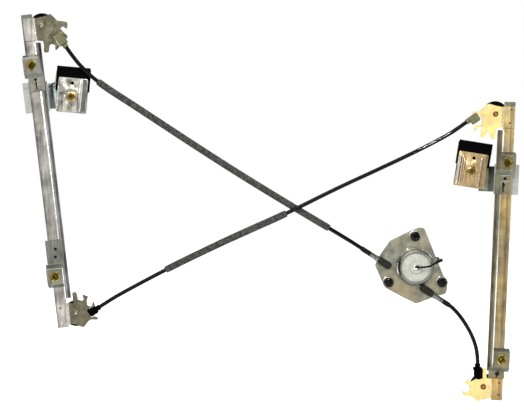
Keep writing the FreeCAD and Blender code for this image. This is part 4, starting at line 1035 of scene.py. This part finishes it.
class OBJECT_OT_regulator_clamps(PieceOperator, bpy.types.Operator):
    """Finish the glass clamps that ride on the rails"""

    bl_idname = "object.regulator_clamps"
    bl_label = "Glass clamps"

    def execute(self, context):
        for side, body in CARRIAGES.items():
            left = side == "left"
            dressed(side + "_carrier", "blue_zinc" if left else "arm_zinc", body)
            dressed(side + "_front_jaw", "clamp_zinc" if left else "copper_zinc", body, joined=False)
            paint(side + "_glass_rubber", "black_rubber")
            paint(side + "_slider", "grey_plastic")
            for part in ("_jaw_spacer", "_clamp_nut", "_carrier_rivets", "_cable_nipples"):
                paint(side + part, "bright_steel")
            self.screw(side, body)
            self.beads(side, body)
        for name, (first, drop, radius, finish) in ARM_BEADS.items():
            bead(name, [(x, y, z - drop) for x, y, z in ARM_EDGE[first:]], radius, finish,
                 slot_of("left_carrier"), CARRIAGES["left"])
        corners = [self.jaw_point("left", u, v, -2.75) for u, v in JAW_SHADE]
        patch("left_jaw_shade", corners, "arm_zinc", slot_of("left_front_jaw"), CARRIAGES["left"])
        return {"FINISHED"}

    def jaw_point(self, side, u, v, level):
        """Millimetres in the frame for a place on a clamp plate, from its screw."""
        cosine, sine = cosine_and_sine(CLAMP_TILT[side])
        x0, z0 = CLAMP_SCREWS[side]
        return x0 + u * cosine + v * sine, level, z0 - u * sine + v * cosine

    def beads(self, side, body):
        """Beads pressed in the front plate of a clamp, in painted highlight and painted shade
        finishes.
        """
        for index, (points, radius, level, finish) in enumerate(JAW_BEADS[side]):
            line = [self.jaw_point(side, u, v, level) for u, v in points]
            bead("%s_jaw_bead_%d" % (side, index), line, radius, finish,
                 slot_of(side + "_front_jaw"), body)

    def screw(self, side, body):
        """The clamp screw: a collar, a raised head and a driver recess in darker brass as painted
        shade.
        """
        profile = [(0, -3.7, 1), (2.5, -3.7, 1), (2.9, -5.2, 1), (4.4, -5.2), (4.9, -4.2),
                   (6.4, -4.0), (7.0, -3.5), (7.0, -2.7), (3.0, -2.7), (3.0, 14.5), (0, 14.5)]
        screw = turned(side + "_screw", profile, [CLAMP_SCREWS[side]], ("screw_brass", "brass_dark"))
        stand_for(screw, side + "_clamp_screw", body)


class OBJECT_OT_regulator_drum(PieceOperator, bpy.types.Operator):
    """Finish the drum plate, its housing, the cable drum, the screws and the transit tie"""

    bl_idname = "object.regulator_drum"
    bl_label = "Drum"

    def execute(self, context):
        dressed("drum_plate", "plate_zinc", rim=-3.0 * MM)
        dressed("drum_housing", "mount_zinc")
        slot = slot_of("drum_housing")
        for name, (*arc, radius, finish) in HOUSING_BEADS.items():
            bead(name, arc_points(*arc), radius, finish, slot)
        # A near-white dot as a painted highlight on the housing.
        rivets("housing_dimple", -12.3, 1.5, 0.6, "bend_zinc", [(-11.4, 24.0)], slot)
        paint("cable_drum", "white_nylon")
        # Near-white arcs on the upper left of each screw boss: painted highlights.
        for index, (x, z) in enumerate(MOTOR_SCREWS):
            bead("boss_rim_%d" % index, arc_points(8.0, 105, 175, -3.0, x, z), 0.9, "bend_zinc",
                 slot_of("drum_plate"))
        self.screws()
        self.tie()
        return {"FINISHED"}

    def tie(self):
        """The transit tie's strap with its thicker tail."""
        radius, steps = 1.3, 8
        line = centre_line([Vector(point) * MM for point in TIE_ROUTE], steps)
        strap = sweep_along("tie_strap", line, [radius * MM] * len(line), "black_gloss", 16, 60)
        tail = straight_line(Vector((22.0, -17.8, 4.6)) * MM, Vector((34.0, -19.6, 10.9)) * MM, steps)
        radii = [(radius + 0.13 * step) * MM for step in range(steps + 1)]
        end = sweep_along("tie_tail", tail, radii, "black_gloss", 16, 60)
        stand_for(strap, "transit_tie")
        settle(end, slot_of("transit_tie"))

    def screws(self):
        """The three motor screws with domed heads and a driver recess."""
        profile = [(0, -4.9), (2.6, -4.9), (3.0, -6.9), (4.6, -6.9), (5.9, -6.1), (6.5, -4.8),
                   (6.5, -3.0), (2.4, -3.0), (2.4, 0.3), (3.0, 0.3), (3.0, 13.3), (2.0, 14.3),
                   (0, 14.3)]
        stand_for(turned("domed_motor_screws", profile, MOTOR_SCREWS, ("black_steel",)),
                  "motor_screws")


class OBJECT_OT_regulator_cables(PieceOperator, bpy.types.Operator):
    """Lay the conduits, their sleeves and the wire ropes"""

    bl_idname = "object.regulator_cables"
    bl_label = "Cables"

    def execute(self, context):
        for node, points in CONDUITS.items():
            cord = nurbs_curve(node + "_cord", points, sizes().conduit_radius)
            cord.data.materials.append(finish_of("black_gloss"))
            stand_for(cord, node)
        for node, (conduit, *ends) in SLEEVES.items():
            line = centre_line(CONDUITS[conduit])
            start, end = (self.nearest(line, Vector(CONDUITS[conduit][index])) for index in ends)
            self.sleeve(node, line[start:end + 1])
        for node in ("left_rail_cable", "right_rail_cable", "upper_drum_cable", "lower_drum_cable"):
            paint(node, "wire_rope")
        return {"FINISHED"}

    def nearest(self, line, place):
        return min(range(len(line)), key=lambda index: (line[index] - place).length)

    def sleeve(self, node, line):
        """A foam sleeve that is a little thinner at its ends."""
        radii = [sizes().sleeve_radius] * len(line)
        for step, share in enumerate((0.92, 0.97, 0.99)):
            radii[step] *= share
            radii[-1 - step] *= share
        stand_for(sweep_along(node + "_foam", line, radii, "foam", 32, 50), node)


class OBJECT_OT_regulator_cable_ends(PieceOperator, bpy.types.Operator):
    """Make the boots and slack springs beside the drum, and finish the ferrules"""

    bl_idname = "object.regulator_cable_ends"
    bl_label = "Cable ends"

    def execute(self, context):
        for end, stations in DRUM_STATIONS.items():
            self.boot(end, *stations["boot"])
            paint(end + "_drum_ferrule", "ferrule_steel")
            self.collar(end, *stations["collar"])
        return {"FINISHED"}

    def line(self, inner, outer, steps):
        """Points on the drum cables' line between two stations."""
        start, end = (DRUM_TOUCH + DRUM_HEADING * (along * MM) for along in (inner, outer))
        return straight_line(start, end, steps)

    def boot(self, end, inner, outer):
        """A smooth boot with rounded ends."""
        steps, end_radius, swelling, rounding = 48, 3.2, 1.75, 0.16
        radii = []
        for step in range(steps + 1):
            near_end = min(step, steps - step) / steps
            radii.append((end_radius + swelling * min(near_end / rounding, 1.0) ** 0.5) * MM)
        boot = sweep_along(end + "_boot_rounded", self.line(inner, outer, steps), radii,
                           "boot_rubber", 32, 60)
        stand_for(boot, end + "_drum_boot")

    def collar(self, end, inner, outer):
        """A slack spring over a dark core."""
        node = end + "_drum_collar"
        line = self.line(inner, outer, 8)
        core = sweep_along(end + "_spring_core", line, [2.9 * MM] * len(line), "black_steel")
        stand_for(core, node)
        wire = sizes().spring_wire
        turns = (line[-1] - line[0]).length / (2.1 * wire)
        spring_between(end + "_slack_spring", line[0], line[-1], turns, 3.0 * MM, wire,
                       "black_steel", slot_of(node))


class OBJECT_OT_regulator_stage(PieceOperator, bpy.types.Operator):
    """Set the floor, the soft studio light and the camera"""

    bl_idname = "object.regulator_stage"
    bl_label = "Stage"

    def execute(self, context):
        self.floor()
        self.world()
        for name, (place, size, power) in LAMPS.items():
            lamp = bpy.data.lights.new(name, "AREA")
            lamp.size = size
            lamp.energy = power
            holder = add_object(name, lamp)
            holder.location = place
            holder.rotation_euler = (LAMP_TARGET - Vector(place)).to_track_quat("-Z", "Y").to_euler()
        self.camera()
        context.scene.view_settings.view_transform = "Standard"
        return {"FINISHED"}

    def floor(self):
        """A wide pale floor just under the object, brighter to the camera."""
        reach, level = FLOOR_REACH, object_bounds()[0][2] - 1 * MM
        mesh = bpy.data.meshes.new("floor")
        mesh.from_pydata([(-reach, -reach, level), (reach, -reach, level), (reach, reach, level),
                          (-reach, reach, level)], [], [(0, 1, 2, 3)])
        material, tree, shader = new_material("pale_floor")
        seen = add_node(tree, "ShaderNodeLightPath").outputs["Is Camera Ray"]
        set_inputs(tree, shader, {
            "Base Color": ramp(tree, noise(tree, 30.0, 3.0, 0.5), [(0.3, 0.86), (0.7, 0.90)]),
            "Roughness": 0.9, "Emission Color": (1, 1, 1, 1),
            "Emission Strength": math_node(tree, "MULTIPLY_ADD", seen, 0.75, 0.2)})
        mesh.materials.append(material)
        add_object("floor", mesh)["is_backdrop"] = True

    def world(self):
        """A soft room for the reflections, and plain white for the camera."""
        world = bpy.data.worlds.new("studio")
        bpy.context.scene.world = world
        world.use_nodes = True
        tree = world.node_tree
        around = add_node(tree, "ShaderNodeTexCoord").outputs["Generated"]
        split = add_node(tree, "ShaderNodeSeparateXYZ", {"Vector": around})
        parts = [ramp(tree, math_node(tree, "MULTIPLY_ADD", split.outputs[axis], 0.5, 0.5), stops)
                 for axis, stops in (("Z", ROOM_BY_HEIGHT), ("X", ROOM_BY_SIDE))]
        seen = add_node(tree, "ShaderNodeLightPath").outputs["Is Camera Ray"]
        set_inputs(tree, tree.nodes["Background"], {
            "Color": mixed(tree, mixed(tree, *parts), (1.0, 1.0, 1.0, 1.0), seen, "MIX")})

    def camera(self):
        lens = bpy.data.cameras.new("camera")
        lens.lens = CAMERA_LENS
        lens.sensor_width = CAMERA_SENSOR
        holder = add_object("camera", lens)
        holder.location = CAMERA_PLACE
        holder.rotation_euler = (math.radians(90), 0, 0)
        bpy.context.scene.camera = holder


class VIEW3D_PT_regulator(bpy.types.Panel):
    """The regulator's sizes, colours and pieces"""

    bl_label = "Window regulator"
    bl_category = "Regulator"
    bl_space_type = "VIEW_3D"
    bl_region_type = "UI"

    def draw(self, context):
        layout = self.layout
        for settings in (context.scene.regulator_sizes, context.scene.regulator_colours):
            for name in settings.bl_rna.properties.keys():
                if name not in {"rna_type", "name"}:
                    layout.prop(settings, name)
        for operator in OPERATORS:
            layout.operator(operator.bl_idname)


OPERATORS = (
    OBJECT_OT_regulator_rails,
    OBJECT_OT_regulator_brackets,
    OBJECT_OT_regulator_mounts,
    OBJECT_OT_regulator_clamps,
    OBJECT_OT_regulator_drum,
    OBJECT_OT_regulator_cables,
    OBJECT_OT_regulator_cable_ends,
    OBJECT_OT_regulator_stage,
)
CLASSES = (RegulatorSizes, RegulatorColours, *OPERATORS, VIEW3D_PT_regulator)


def register():
    for each in CLASSES:
        bpy.utils.register_class(each)
    bpy.types.Scene.regulator_sizes = bpy.props.PointerProperty(type=RegulatorSizes)
    bpy.types.Scene.regulator_colours = bpy.props.PointerProperty(type=RegulatorColours)


def unregister():
    del bpy.types.Scene.regulator_colours
    del bpy.types.Scene.regulator_sizes
    for each in reversed(CLASSES):
        bpy.utils.unregister_class(each)


def main():
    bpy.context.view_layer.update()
    register()
    bpy.ops.object.regulator_rails()
    bpy.ops.object.regulator_brackets()
    bpy.ops.object.regulator_mounts()
    bpy.ops.object.regulator_clamps()
    bpy.ops.object.regulator_drum()
    bpy.ops.object.regulator_cables()
    bpy.ops.object.regulator_cable_ends()
    bpy.ops.object.regulator_stage()


if __name__ == "__main__":
    main()
